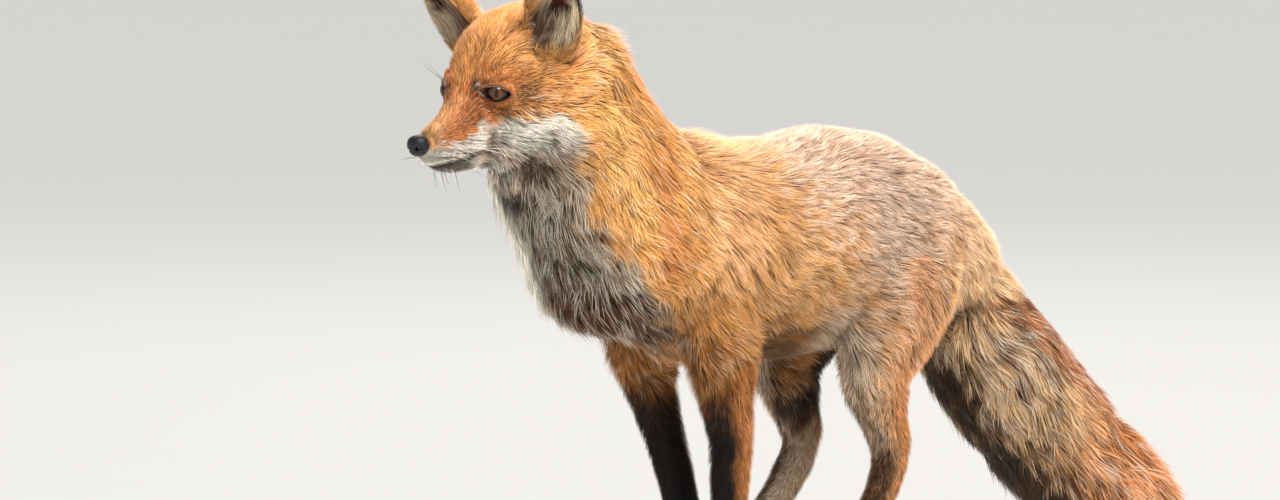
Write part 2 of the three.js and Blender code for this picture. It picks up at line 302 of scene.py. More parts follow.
class CoatPlan:
    """All zones, and the coat's measures at any point."""

    SHARPNESS = 7

    def __init__(self, marks: Landmarks) -> None:
        """Lays out the zones on the fox's landmarks."""
        self.marks = marks
        self.zones: list[Zone] = []
        self.plan_head()
        self.plan_trunk()
        self.plan_legs()
        self.plan_brush()
        self.pieces = sorted({zone.piece for zone in self.zones})

    def line(self, piece: str, start: Array, end: Array, radius: float, lie: Array, growth: Growth) -> None:
        """Adds a zone round a line; the radius is in millimetres."""
        self.zones.append(Zone(piece, start, end, radius * MM, unit(np.asarray(lie, float)), growth))

    def on_head(
        self, piece: str, first: Triple, last: Triple, radius: float, lie: Triple, growth: Growth,
    ) -> None:
        """Adds a zone between two places of the head's own frame."""
        marks = self.marks
        self.line(piece, marks.on_head(*first), marks.on_head(*last), radius, marks.head_lie(*lie), growth)

    def in_box(
        self, piece: str, node: str, first: Triple, last: Triple, radius: float, lie: Triple, growth: Growth,
    ) -> None:
        """Adds a zone between two places of a node's box."""
        at = self.marks.at
        self.line(piece, at(node, *first), at(node, *last), radius, lie, growth)

    def plan_head(self) -> None:
        """Zones of the head and ears."""
        nose = Growth(1.6, 3.5, 0.42, 190, 0.2)
        muzzle = Growth(2.0, 6.0, 0.46, 175, 0.25)
        face = Growth(2.6, 7.0, 0.48, 155, 0.3)
        crown = Growth(3.6, 11.0, 0.54, 120, 0.35)
        cheek = Growth(7.0, 19.0, 0.62, 92, 0.6)
        ear = Growth(0.9, 7.0, 0.5, 105, 0.3)
        self.on_head("coat_face", (0, -62, -16), (0, -60, -40), 9, (0, 1, 0.3), nose)
        self.on_head("coat_face", (0, -50, -20), (0, -24, -12), 15, (0, 1, 0.25), muzzle)
        self.on_head("coat_face", (0, -48, -47), (0, -20, -48), 11, (0, 1, -0.1), muzzle)
        self.on_head("coat_face", (0, 8, 26), (0, 46, 44), 24, (0, 1, 0.15), crown)
        self.on_head("coat_ruff", (0, 84, 34), (0, 100, 6), 26, (0, 0.45, -1), cheek)
        for side in SIDES.values():
            lip, brow = (side * 0.2, 1, -0.2), (side * 0.3, 1, 0.1)
            jaw, temple = (side * 0.35, 1, -0.75), (side * 0.25, 1, -0.3)
            self.on_head("coat_face", (13 * side, -46, -32), (15 * side, -24, -34), 10, lip, muzzle)
            self.on_head("coat_face", (27 * side, -10, 0), (33 * side, 6, 6), 16, brow, face)
            self.on_head("coat_ruff", (34 * side, 18, -34), (38 * side, 60, -40), 20, jaw, cheek)
            self.on_head("coat_ruff", (42 * side, 34, -2), (44 * side, 70, 4), 20, temple, cheek)
        self.on_head("coat_ruff", (0, 8, -66), (0, 44, -72), 20, (0, 1, -0.8), cheek)
        for name in SIDES:
            start, end, radius = self.marks.bone(f"ear_{name}", (0, 0, 1))
            self.line("coat_ears", start, end, radius / MM * 0.9, end - start, ear)

    def plan_trunk(self) -> None:
        """Zones of the neck, trunk and rump."""
        neck = Growth(12.0, 27.0, 0.7, 64, 0.5)
        chest = Growth(13.0, 30.0, 0.75, 56, 0.75)
        belly = Growth(9.0, 24.0, 0.8, 46, 0.5)
        shoulder = Growth(9.0, 20.0, 0.64, 80, 0.5)
        flank = Growth(6.5, 15.0, 0.6, 88, 0.5)
        low_flank = Growth(9.0, 22.0, 0.68, 70, 0.5)
        haunch = Growth(6.0, 14.0, 0.6, 88, 0.5)
        withers = Growth(8.0, 19.0, 0.64, 70, 0.5)
        saddle = Growth(5.5, 12.5, 0.58, 92, 0.5)
        rump = Growth(7.5, 19.0, 0.68, 68, 0.5)
        self.in_box("coat_neck", "neck", (0.5, 0.6, 0.85), (0.5, 0.9, 0.5), 55, (0, 0.5, -0.85), neck)
        for side, x in (("left", 0.85), ("right", 0.15)):
            down = (0.1 * SIDES[side], 0.6, -0.85)
            piece = f"coat_flank_{side}"
            self.in_box("coat_neck", "neck", (x, 0.5, 0.6), (x, 0.75, 0.15), 45, down, neck)
            self.in_box(piece, "trunk", (x, 0.38, 0.72), (x, 0.3, 0.3), 52, (0, 0.55, -0.85), shoulder)
            self.in_box(piece, "trunk", (x, 0.62, 0.6), (x, 0.85, 0.6), 48, (0, 1, -0.42), flank)
            self.in_box(piece, "trunk", (x, 0.55, 0.25), (x, 0.75, 0.3), 42, (0, 1, -0.55), low_flank)
            self.in_box("coat_rump", "rump", (x, 0.0, 0.75), (x, 0.2, 0.4), 46, (0, 0.75, -0.7), haunch)
        self.in_box("coat_chest", "neck", (0.5, 0.16, 0.5), (0.5, 0.1, 0.1), 40, (0, 0.3, -1), chest)
        self.in_box("coat_chest", "trunk", (0.5, 0.1, 0.5), (0.5, 0.22, 0.12), 44, (0, 0.75, -0.8), chest)
        self.in_box("coat_back", "trunk", (0.5, 0.32, 0.8), (0.5, 0.45, 0.85), 52, (0, 1, -0.2), withers)
        self.in_box("coat_back", "trunk", (0.5, 0.58, 0.8), (0.5, 0.98, 0.8), 52, (0, 1, -0.12), saddle)
        self.in_box("coat_chest", "trunk", (0.5, 0.4, 0.06), (0.5, 0.95, 0.12), 40, (0, 1, -0.2), belly)
        self.in_box("coat_rump", "rump", (0.5, 0.2, 0.8), (0.5, 0.75, 0.4), 54, (0, 0.68, -0.75), rump)

    def plan_legs(self) -> None:
        """Zones of the legs and paws."""
        paw = Growth(1.8, 5.5, 0.54, 78, 0.3)
        coats = {
            "thigh": ((0, 0.4, -1), Growth(6.0, 14.0, 0.64, 76, 0.45)),
            "hind_shank": ((0, 0.1, -1), Growth(3.2, 9.5, 0.58, 72, 0.4)),
            "hind_foot": ((0, 0.2, -1), Growth(2.2, 7.5, 0.54, 78, 0.3)),
            "hind_paw": ((0, -1, -0.3), paw),
            "fore_leg": ((0, 0.1, -1), Growth(4.0, 11.0, 0.6, 72, 0.4)),
            "fore_shin": ((0, 0.1, -1), Growth(2.4, 8.0, 0.56, 78, 0.35)),
            "fore_paw": ((0, -1, -0.3), paw),
        }
        for part, (lie, growth) in coats.items():
            piece = "coat_thighs" if part == "thigh" else f"coat_{part.split('_')[0]}_legs"
            for name in SIDES:
                towards = lie if "paw" not in part else (0, -1, 0)
                start, end, radius = self.marks.bone(f"{part}_{name}", towards)
                flow = end - start if part in ("hind_foot", "hind_shank", "fore_shin", "fore_leg") else lie
                self.line(piece, start, end, radius / MM * 0.8, flow, growth)

    def plan_brush(self) -> None:
        """Zones of the tail, which is called the brush."""
        coats = {
            "brush_root": ("coat_brush_root", Growth(11.0, 34.0, 0.9, 52, 0.7)),
            "brush_middle": ("coat_brush_middle", Growth(18.0, 44.0, 1.0, 52, 0.75)),
            "brush_end": ("coat_brush_end", Growth(18.0, 44.0, 1.0, 54, 0.75)),
            "brush_tip": ("coat_brush_end", Growth(10.0, 36.0, 0.9, 64, 0.7)),
        }
        for node, (piece, growth) in coats.items():
            start, end, radius = self.marks.bone(node, ALONG_BRUSH)
            fall = np.array([0, 0, -0.55]) * np.linalg.norm(end - start)
            self.line(piece, start, end, radius / MM * 0.8, end - start + fall, growth)

    def weights(self, points: Array) -> Array:
        """How much each zone counts at each point.

        Args:
            points: places, in metres.

        Returns:
            One row for each point that sums to 1, one column for each zone.
        """
        shares = np.empty((len(points), len(self.zones)))
        for column, zone in enumerate(self.zones):
            run = zone.end - zone.start
            t = np.clip((points - zone.start) @ run / (run @ run), 0.0, 1.0)
            away = norms(points - zone.start - t[:, None] * run)
            shares[:, column] = np.maximum(away / zone.radius, 0.3) ** -self.SHARPNESS
        return shares / shares.sum(1, keepdims=True)

    def share(self, shares: Array, *pieces: str) -> Array:
        """How far points belong to some coat pieces."""
        return shares[:, [zone.piece in pieces for zone in self.zones]].sum(1)

    def measure(self, shares: Array, name: str) -> Array:
        """One measure of the growth, blended between the zones."""
        return shares @ np.array([getattr(zone.growth, name) for zone in self.zones])

    def lie(self, shares: Array) -> Array:
        """The way that the coat lies, blended between the zones."""
        return unit(shares @ np.array([zone.lie for zone in self.zones]))

    def piece_of(self, shares: Array) -> Array:
        """The index in self.pieces of the piece that each point belongs to."""
        return np.argmax(np.array([self.share(shares, piece) for piece in self.pieces]), axis=0)


# ---- Ears ----


@dataclass
class Ear:
    """One ear's cup, measured outward, forward and up along its lean, in millimetres."""

    marks: Landmarks
    side: str
    length: float = 86.0
    wall: float = 4.5

    ROOT = (43.0, 50.0, 25.0)
    TURNS = {"left": (20, 9, 28), "right": (33, 7, 6)}
    HEIGHTS = (-0.12, 0.06, 0.28, 0.52, 0.76, 0.94, 1.0)
    WIDTHS = (15.0, 24.0, 27.0, 25.0, 16.0, 6.5, 2.4)
    BACKS = (12.0, 16.0, 14.0, 10.0, 6.0, 3.0, 1.4)
    MOUTH = 9.0
    FLOOR = 0.4
    FLOOR_SLOPE = 1.1
    TOP = 0.95

    def __post_init__(self) -> None:
        """Sets the ear's root and its outward, forward and upward directions in the head's frame."""
        sign = SIDES[self.side]
        spread, tilt, turn = (math.radians(angle) for angle in self.TURNS[self.side])
        lean = unit(np.array([sign * math.sin(spread), -math.sin(tilt), math.cos(spread)]))
        outward = np.array([sign * math.cos(turn), math.sin(turn), 0.0])
        forward = np.array([sign * math.sin(turn), -math.cos(turn), 0.0])
        self.root = np.array(self.ROOT) * np.array([sign, 1, 1])
        self.axes = np.array([outward, forward, lean])

    def local(self, points: Array) -> Array:
        """Points as millimetres outward and forward, and as a share of the ear's length."""
        found = (self.marks.from_head(points) - self.root) @ np.linalg.inv(self.axes)
        return found / np.array([1.0, 1.0, self.length])

    def world(self, outward: float, forward: float, up: float) -> Array:
        """A direction of the ear as one of the whole fox."""
        return unit(np.array([outward, forward, up]) @ self.axes @ self.marks.head_axes)

    def cup(self, points: Array, normals: Array) -> tuple[Array, Array, Array]:
        """Which points lie in the cup.

        Args:
            points: places in metres.
            normals: the skin's directions there.

        Returns:
            A mask, how far outward each point is from -1 to 1, and how high from 0 to 1.
        """
        out, forward, high = self.local(points).T
        across = out / np.interp(high, self.HEIGHTS, self.WIDTHS)
        back = np.interp(high, self.HEIGHTS, self.BACKS)
        facing = normals @ self.world(0, 1, 0) - 0.7 * np.sign(across) * (normals @ self.world(1, 0, 0))
        mask = smooth(1.0, 3.5, forward + back) * smooth(-0.1, 0.25, facing)
        mask = mask * smooth(1.15, 0.95, np.abs(across))
        return mask * smooth(0.0, 0.08, high), across, high

    def hollow(self, points: Array) -> Array:
        """Distance to the space inside the cup, in metres."""
        out, forward, high = self.local(points).T
        wide = np.maximum(np.interp(high, self.HEIGHTS, self.WIDTHS) - self.wall, 1.0)
        back = np.interp(high, self.HEIGHTS, self.BACKS)
        deep = back - self.wall + self.MOUTH
        away = (np.hypot(out / wide, (forward - self.MOUTH) / deep) - 1.0) * np.minimum(wide, deep)
        floor = self.FLOOR * self.length - (forward + back) * self.FLOOR_SLOPE
        ends = np.maximum(floor - high * self.length, (high - self.TOP) * self.length)
        return np.maximum(away, ends) * MM


# ---- Markings ----


@dataclass
class Spots:
    """Places on the coat, what is known of each, and the colour and frost it has so far."""

    plan: CoatPlan
    points: Array
    normals: Array
    shares: Array
    colour: Array
    frost: Array

    def of(self, *pieces: str) -> Array:
        """How far each place belongs to some coat pieces."""
        return self.plan.share(self.shares, *pieces)

    def flecks(self, seed: int, size: float, low: float, high: float, stretch: Triple = (1, 1, 1)) -> Array:
        """A random mask of flecks.

        Args:
            seed: which pattern.
            size: typical size of a fleck in millimetres.
            low: value of the random field where the mask is 0.
            high: value of the random field where the mask is 1.
            stretch: below 1 along an axis, flecks are longer that way.

        Returns:
            A mask from 0 to 1.
        """
        return smooth(low, high, ripple(self.points * np.array(stretch), size * MM, seed))

    def tint(self, tone: Tone, mask: Array) -> None:
        """Blends the colour towards a tone where the mask is 1."""
        self.colour = mixed(self.colour, tone, mask)

    def grizzle(self, mask: Array) -> None:
        """Makes sure that each place has at least this share of pale and dark hairs."""
        self.frost = np.maximum(self.frost, mask)


class Markings:
    """The fox's colours, as soft patches laid over one another in the body's and the head's frames.

    Heights over the floor and distances behind the eyes are metres, and radii of patches millimetres.
    """

    MIDPLANE = 0.002
    LEGS_MIDPLANE = 0.004
    BRUSH_RADIUS = 44 * MM
    BIB_SHIFT = 0.034
    # The middle of a patch of painted shade in the groin.
    SHADED_GROIN = (0.013, -0.006, 0.176)

    # Mirrored patches of the head: middle, radii, edge and strength.
    FACE_RUST = (
        ((25, -6, 1), (25, 34, 21), 0.5, 1.0),
        ((8, -36, -14), (20, 32, 17), 0.45, 1.0),
    )
    MUZZLE_TOP = (
        ((0, -57, -15), (15, 14, 14), 0.5, 1.0),
        ((0, -40, -6), (9, 26, 12), 0.6, 0.7),
    )
    FACE_FLECKS = (
        ((44, 18, -2), (14, 22, 9), 0.6, 0.8),
        ((20, -25, -10), (9, 20, 9), 0.7, 0.9),
        ((22, 8, 24), (9, 16, 6), 0.7, 0.5),
        ((15, -13, 9), (5, 8, 9), 0.6, 0.9),
        ((30, -6, 13), (9, 9, 3), 0.6, 0.6),
        ((33, 0, -14), (12, 11, 4), 0.6, 0.6),
        ((12, -52, -22), (6, 9, 6), 0.6, 0.5),
        ((10, 10, 32), (9, 20, 12), 0.7, 0.4),
    )

    def __init__(self, marks: Landmarks, plan: CoatPlan) -> None:
        """Keeps the landmarks and finds the line down the middle of the brush."""
        self.marks = marks
        self.plan = plan
        bones = [marks.bone(name, ALONG_BRUSH) for name in BRUSH_NODES]
        self.brush = np.array([bones[0][0]] + [bone[1] for bone in bones])
        self.ears = [Ear(marks, side) for side in SIDES]

    def blob(
        self, points: Array, centre: Array, radii: Triple, edge: float = 0.4, rough: float = 0.18,
    ) -> Array:
        """A soft ellipsoid patch.

        Args:
            points: places in metres.
            centre: the patch's middle.
            radii: its radii in millimetres.
            edge: share of the radius over which it fades.
            rough: how ragged its edge is.

        Returns:
            A mask from 0 to 1.
        """
        away = norms((points - centre) / (np.array(radii) * MM))
        away = away + rough * ripple(points, 16 * MM, int(radii[0] * 7 + radii[2]))
        return 1.0 - smooth(1.0 - edge, 1.0 + edge, away)

    def pair(self, points: Array, centre: Triple, radii: Triple, edge: float = 0.4) -> Array:
        """Two patches of the head, mirrored left and right, in millimetres of the head's frame."""
        head = self.marks.from_head(points)
        head[:, 0] = np.abs(head[:, 0])
        return self.blob(head * MM, np.array(centre) * MM, radii, edge)

    def pairs(self, points: Array, patches: tuple[tuple[Triple, Triple, float, float], ...]) -> Array:
        """The strongest of several mirrored patches of the head."""
        masks = [self.pair(points, *patch) * strength for *patch, strength in patches]
        return np.maximum.reduce(masks)

    def mirrored(self, points: Array) -> Array:
        """Points with those of the right side laid over those of the left."""
        return points * np.array([0, 1, 1]) + np.abs(points[:, :1] - self.MIDPLANE) * np.array([1, 0, 0])

    def along_brush(self, points: Array) -> tuple[Array, Array]:
        """Where points lie on the brush.

        Args:
            points: places in metres.

        Returns:
            How far along its line each point is, from 0 to 1, and its height over the line in radii.
        """
        best = np.full(len(points), np.inf)
        along = np.zeros(len(points))
        height = np.zeros(len(points))
        last = len(self.brush) - 1
        for index in range(last):
            start, run = self.brush[index], self.brush[index + 1] - self.brush[index]
            t = np.clip((points - start) @ run / (run @ run), 0.0, 1.0)
            offset = points - start - t[:, None] * run
            away = norms(offset)
            above = unit(np.array([0, 0, 1.0]) - unit(run) * unit(run)[2])
            near = away < best
            best = np.where(near, away, best)
            along = np.where(near, (index + t) / last, along)
            height = np.where(near, offset @ above / self.BRUSH_RADIUS, height)
        return along, height

    def paint(self, points: Array, normals: Array, shares: Array) -> tuple[Array, Array]:
        """Colours the coat.

        Args:
            points: places in metres.
            normals: the skin's directions there.
            shares: the zones' weights there.

        Returns:
            Linear colours, and how frosted with pale and dark hairs each place is, from 0 to 1.
        """
        gold = np.tile(Tone.GOLD.linear, (len(points), 1))
        spots = Spots(self.plan, points, normals, shares, gold, np.full(len(points), 0.3))
        self.paint_trunk(spots)
        self.paint_neck(spots)
        self.paint_legs(spots)
        self.paint_brush(spots)
        self.paint_head(spots)
        self.paint_ears(spots)
        fine = 1.0 + 0.08 * ripple(points, 7 * MM, 3) + 0.07 * ripple(points, 24 * MM, 4)
        return np.clip(spots.colour * fine[:, None], 0.004, 1.0), np.clip(spots.frost, 0.0, 1.0)

    def paint_trunk(self, spots: Spots) -> None:
        """Saddle, flanks, haunches, rump, and the belly, which is darkened by painted shade."""
        at, points = self.marks.at, spots.points
        flat = np.array([0.35, 1, 1])
        across = points * flat
        behind = self.marks.behind_eyes(points)
        height = points[:, 2] + 0.006 * ripple(points, 30 * MM, 9)
        saddle = self.blob(across, at("trunk", 0.5, 0.82, 0.88) * flat, (60, 122, 84), 0.35)
        haunch = self.blob(across, at("rump", 0.5, 0.06, 0.46) * flat, (60, 50, 82), 0.45)
        flank = self.blob(across, at("trunk", 0.5, 0.6, 0.4) * flat, (60, 90, 55), 0.5)
        rump = self.blob(points, at("rump", 0.5, 0.72, 0.52), (95, 66, 88), 0.4)
        sides = spots.of("coat_chest", "coat_flank_left", "coat_flank_right")
        low = smooth(0.275, 0.235, height) * sides
        belly = smooth(0.238, 0.212, height) * sides
        belly = belly * smooth(0.215, 0.26, behind) * smooth(0.37, 0.335, behind)
        spots.tint(Tone.FLANK, flank * 0.9)
        spots.tint(Tone.BUFF, rump * 0.9)
        spots.tint(Tone.SADDLE, saddle)
        spots.tint(Tone.HAUNCH, haunch * 0.85)
        spots.tint(Tone.OCHRE, low * 0.6)
        spots.tint(Tone.FORELEG, low * smooth(0.235, 0.205, height) * smooth(0.24, 0.2, behind) * 0.8)
        # Painted shade: the belly is darker than its own colour, as it lies under the body.
        spots.tint(Tone.BELLY, belly * 0.9)
        fleck = spots.flecks(21, 6, 0.1, 0.8) * np.maximum(saddle, haunch)
        spots.tint(Tone.SADDLE_DARK, fleck * 0.42)
        spots.grizzle(np.maximum.reduce([saddle * 0.95, haunch, flank * 0.45, rump * 0.4]))
        spots.frost = spots.frost * (1 - belly)

    def paint_neck(self, spots: Spots) -> None:
        """Nape, withers, and the smoky bib down the throat and chest with its pale front; painted shade
        darkens the bib, most of all low on the chest.
        """
        at, points = self.marks.at, spots.points
        mirrored = self.mirrored(points)
        behind, height = self.marks.behind_eyes(points), points[:, 2]
        nape = self.blob(points, at("neck", 0.5, 0.66, 0.78), (62, 46, 62), 0.5)
        withers = self.blob(points, at("trunk", 0.5, 0.42, 0.92), (75, 46, 46), 0.5)
        shoulder = self.blob(mirrored, at("trunk", 0.98, 0.37, 0.66), (46, 34, 52), 0.5)
        collar = np.maximum(
            self.blob(mirrored, at("neck", 0.97, 0.61, 0.4), (40, 17, 30), 0.6),
            self.blob(mirrored, at("neck", 0.98, 0.63, 0.16), (40, 16, 34), 0.6),
        )
        honey = spots.flecks(31, 60, -0.4, 0.8)
        spots.tint(Tone.HONEY, honey * 0.5 * spots.of("coat_neck", "coat_ruff"))
        spots.tint(Tone.OCHRE, spots.flecks(32, 22, 0.2, 1.0) * 0.4)
        spots.tint(Tone.NAPE, nape * 0.7)
        spots.tint(Tone.PALE_GOLD, np.maximum(withers, shoulder) * 0.85)
        spots.tint(Tone.NAPE, collar * 0.65)
        edge = 0.07 + (0.348 - height) * 0.42 + np.maximum(0.3 - height, 0) * 0.6
        edge = edge + 0.007 * ripple(points, 24 * MM, 33)
        inner = edge - behind
        bib = smooth(-0.009, 0.009, inner) * smooth(0.405, 0.375, height) * smooth(0.198, 0.214, height)
        bib = bib * spots.of("coat_neck", "coat_chest", "coat_ruff", "coat_flank_left", "coat_flank_right")
        aside = np.abs(points[:, 0] - at("neck", 0.5, 0, 0)[0] + self.BIB_SHIFT)
        smoke = smooth(0.018, 0.032, aside) * smooth(0.0, 0.03, inner)
        smoke = smoke * (0.6 + 0.4 * spots.flecks(34, 13, -0.5, 0.5, (1.3, 1.3, 0.7)))
        # Painted shade: the bib's grey-brown and smoke are darker than its own colour, as the chest faces
        # away from the light.
        spots.tint(Tone.BIB, bib)
        front = smooth(0.036, 0.02, aside) * smooth(0.235, 0.26, height)
        spots.tint(Tone.CREAM, bib * front * 0.95)
        spots.tint(Tone.SMOKE, bib * smoke * 0.85)
        # Painted shade: umber low on the chest, between the forelegs.
        below = bib * smooth(0.272, 0.242, height) * smooth(0.018, 0.036, aside)
        spots.tint(Tone.UMBER, below * 0.85)
        spots.grizzle(bib * (1 - 0.7 * below) * (1 - 0.6 * front))

    def paint_legs(self, spots: Spots) -> None:
        """Thighs, black stockings and their tan heels, with painted shade on the legs' inner sides and in the
        groin.
        """
        points, normals = spots.points, spots.normals
        z = points[:, 2] + 0.006 * ripple(points, 20 * MM, 41)
        fore = spots.of("coat_fore_legs")
        hind = spots.of("coat_hind_legs")
        thigh = spots.of("coat_thighs")
        outward = normals[:, 0] * np.sign(points[:, 0] - self.LEGS_MIDPLANE)
        behind = smooth(0.1, 0.65, 0.8 * normals[:, 1] + 0.5 * outward)
        ahead = smooth(-0.1, 0.55, -normals[:, 1])
        inner = smooth(-0.1, -0.6, outward)
        brown = spots.flecks(42, 9, -0.2, 0.7)
        spots.tint(Tone.THIGH, smooth(0.25, 0.75, thigh) * 0.9)
        spots.tint(Tone.FORELEG, smooth(0.3, 0.7, fore))
        streak = spots.flecks(43, 7, -0.2, 0.7, (1, 1, 0.5))
        spots.tint(Tone.UMBER, fore * streak * (1 - behind) * smooth(0.24, 0.17, z) * 0.8)
        mottle = 0.012 * ripple(points, 9 * MM, 44)
        stocking = fore * smooth(0.228, 0.14, z + mottle + 0.05 * behind)
        spots.tint(Tone.STOCKING_AND_SHADE, stocking * (1.0 - 0.9 * behind * smooth(0.03, 0.07, z)))
        spots.tint(Tone.HEEL, fore * behind * smooth(0.04, 0.08, z) * smooth(0.21, 0.15, z) * 0.75)
        spots.tint(Tone.THIGH, smooth(0.3, 0.7, hind) * 0.9 * (1 - inner * 0.6))
        spots.tint(Tone.SHIN_GREY, hind * np.maximum(ahead, inner * 0.6) * smooth(0.08, 0.12, z) * 0.75)
        mirrored = self.mirrored(points)
        front = self.blob(mirrored, self.marks.at("thigh_left", 0.62, 0.02, 0.16), (32, 26, 52), 0.6)
        spots.tint(Tone.SHIN_GREY, front * (1 - inner) * 0.85)
        spots.tint(Tone.HEEL, hind * smooth(0.0, 0.6, normals[:, 1]) * 0.8)
        spots.tint(Tone.UMBER, hind * ahead * np.maximum(smooth(0.125, 0.1, z), brown * 0.7) * 0.9)
        spots.tint(Tone.STOCKING_AND_SHADE, hind * ahead * brown * smooth(0.15, 0.1, z) * 0.65)
        spots.tint(Tone.STOCKING_AND_SHADE, hind * smooth(0.05, 0.02, z) * 0.7)
        # Painted shade: the legs' inner sides, which face each other, are darkened to umber and near black.
        shaded = np.maximum(thigh, hind) * inner
        spots.tint(Tone.UMBER, shaded * smooth(0.11, 0.14, z) * 0.85)
        dark = np.minimum(shaded * 1.6, 1) * smooth(0.12, 0.15, z) * smooth(0.22, 0.195, z)
        spots.tint(Tone.STOCKING_AND_SHADE, dark * 0.9)
        spots.tint(Tone.SHIN_GREY, shaded * smooth(0.13, 0.1, z) * smooth(0.03, 0.06, z) * 0.7)
        # Painted shade in the groin between the hind legs.
        groin_shade = self.blob(mirrored, np.array(self.SHADED_GROIN), (22, 30, 27), 0.5)
        spots.tint(Tone.STOCKING_AND_SHADE, groin_shade * np.maximum(thigh, hind) * 0.85)
        spots.grizzle(0.4 * thigh)
        spots.frost = spots.frost * (1 - 0.85 * smooth(0.3, 0.7, fore)) * (1 - stocking) * (1 - 0.6 * hind)
        # No pale hairs in the painted shade.
        spots.frost = spots.frost * (1 - 0.9 * np.maximum(shaded * smooth(0.11, 0.14, z), groin_shade))

    def paint_brush(self, spots: Spots) -> None:
        """The brush: rust above, grey-tan sides, near-black beneath, orange towards the white tip."""
        brush = smooth(0.25, 0.7, spots.of(*COAT_SLOTS["coat_brush"]))
        points = spots.points
        along, height = self.along_brush(points)
        height = height + 0.1 * ripple(points, 18 * MM, 51)
        spots.tint(Tone.BRUSH_SIDE, brush)
        spots.tint(Tone.BRUSH_END, brush * smooth(0.18, 0.42, along + 0.05 * height))
        spots.tint(Tone.BRUSH_TOP, brush * smooth(0.05, 0.45, height) * smooth(0.6, 0.3, along) * 0.9)
        band = spots.flecks(54, 30, 0.3, 0.9) * smooth(0.22, 0.1, along)
        spots.tint(Tone.SMOKE, brush * band * 0.6)
        dark = spots.flecks(52, 12, -0.1, 0.7, (1, 1, 0.55)) * smooth(0.92, 0.6, along)
        spots.tint(Tone.UMBER, brush * dark * smooth(0.5, 0.1, height) * 0.68)
        top = spots.flecks(55, 9, 0.2, 0.9) * smooth(0.55, 0.8, height) * smooth(0.9, 0.7, along)
        spots.tint(Tone.BRUSH_UNDER, brush * top * 0.6)
        root = smooth(0.16, 0.02, along)
        under = smooth(-1.08, -1.34, height - 0.35 * root) * smooth(0.95, 0.7, along)
        mottle = smooth(-0.5, -1.0, height) * spots.flecks(56, 10, -0.2, 0.5) * smooth(0.15, 0.3, along)
        under = np.maximum(under, mottle * smooth(0.85, 0.7, along) * 0.9)
        spots.tint(Tone.BRUSH_UNDER, brush * under * 0.95)
        spots.tint(Tone.WHITE, brush * smooth(0.86, 0.93, along + 0.02 * ripple(points, 20 * MM, 53)))
        spots.frost = np.where(brush > 0.5, 0.55 * (1 - under), spots.frost)

    def paint_head(self, spots: Spots) -> None:
        """Face, white cheeks and chin, dark flecks round the eyes, and lips, with painted shade greying the
        white under the chin and low on the cheeks.
        """
        points = spots.points
        head = self.marks.from_head(points)
        y, z = head[:, 1], head[:, 2]
        face = spots.of("coat_face")
        ruff = spots.of("coat_ruff")
        whole = np.maximum(face, ruff * smooth(95, 60, y))
        spots.tint(Tone.CROWN, whole * 0.9)
        spots.tint(Tone.PALE_GOLD, ruff * smooth(70, 92, y) * smooth(-30, 0, z) * 0.6)
        spots.tint(Tone.FACE, self.pairs(points, self.FACE_RUST) * 0.92)
        spots.tint(Tone.BRIDGE, self.pairs(points, self.MUZZLE_TOP) * 0.9)
        spots.tint(Tone.CHEEK, self.pair(points, (46, 30, -6), (20, 30, 18)) * 0.6)
        fleck = 0.35 + 0.65 * spots.flecks(61, 4.5, -0.3, 0.5)
        spots.tint(Tone.UMBER, self.pairs(points, self.FACE_FLECKS) * fleck)
        spots.tint(Tone.CREAM, self.pair(points, (19, -14, 12), (2.4, 2.8, 4.5), 0.6) * 0.8)
        line = np.interp(y, (-72, -27, -16, 6, 40, 52, 62), (-29, -26, -19, -20, -24, -34, -56))
        ragged = 2.5 * ripple(points, 12 * MM, 62)
        white = smooth(2.5, -3.5, z - line + ragged) * smooth(64, 52, y + ragged) * np.maximum(whole, face)
        spots.tint(Tone.WHITE, white)
        # Painted shade: grey streaks darken the white under the chin and low on the cheeks.
        streak = spots.flecks(63, 8, -0.5, 0.6)
        grey = smooth(-34, -54, z) * smooth(-34, -5, y) * (0.35 + 0.65 * streak)
        spots.tint(Tone.SMOKE, white * grey * 0.75)
        lower = smooth(-26, -44, z) * smooth(-4, 12, y) * smooth(60, 44, y) * (0.3 + 0.7 * streak)
        spots.tint(Tone.SMOKE, white * lower * 0.6)
        pad = smooth(0.1, 0.9, np.sin(z * 1.1 + y * 0.25)) * smooth(-64, -56, y) * smooth(-22, -34, y)
        spots.tint(Tone.UMBER, pad * white * smooth(-44, -38, z) * 0.45)
        jaw = smooth(-42, -45, z) * smooth(-20, -30, y) * smooth(-56, -53, z)
        spots.tint(Tone.LIP, jaw * face * 0.85)
        lip = smooth(3.2, 1.2, np.abs(z + 43.5 - 0.06 * (y + 40))) * smooth(2, -4, y) * smooth(-68, -60, y)
        spots.tint(Tone.LIP, lip * face * 0.8)
        spots.tint(Tone.SORE, self.blob(points, self.marks.on_head(22, -7, -41), (5, 5, 3.5)) * 0.7)
        spots.frost = np.where(whole > 0.5, 0.35 + 0.15 * white, spots.frost)

    def ear_masks(self, points: Array, normals: Array) -> tuple[Array, Array, Array, Array]:
        """Where points lie on the ears.

        Args:
            points: places in metres.
            normals: the skin's directions there.

        Returns:
            The cup's mask, how far outward, how high, and the mask of the cup's bare deep part.
        """
        left = points[:, 0] > self.marks.head_at[0]
        found = [np.where(left, *pair) for pair in zip(*(ear.cup(points, normals) for ear in self.ears))]
        cup, across, high = found
        deep = cup * smooth(-0.3, -0.02, across) * smooth(0.82, 0.6, across) * smooth(0.92, 0.7, high)
        deep = deep * smooth(0.2, 0.36, high)
        return cup, across, high, deep

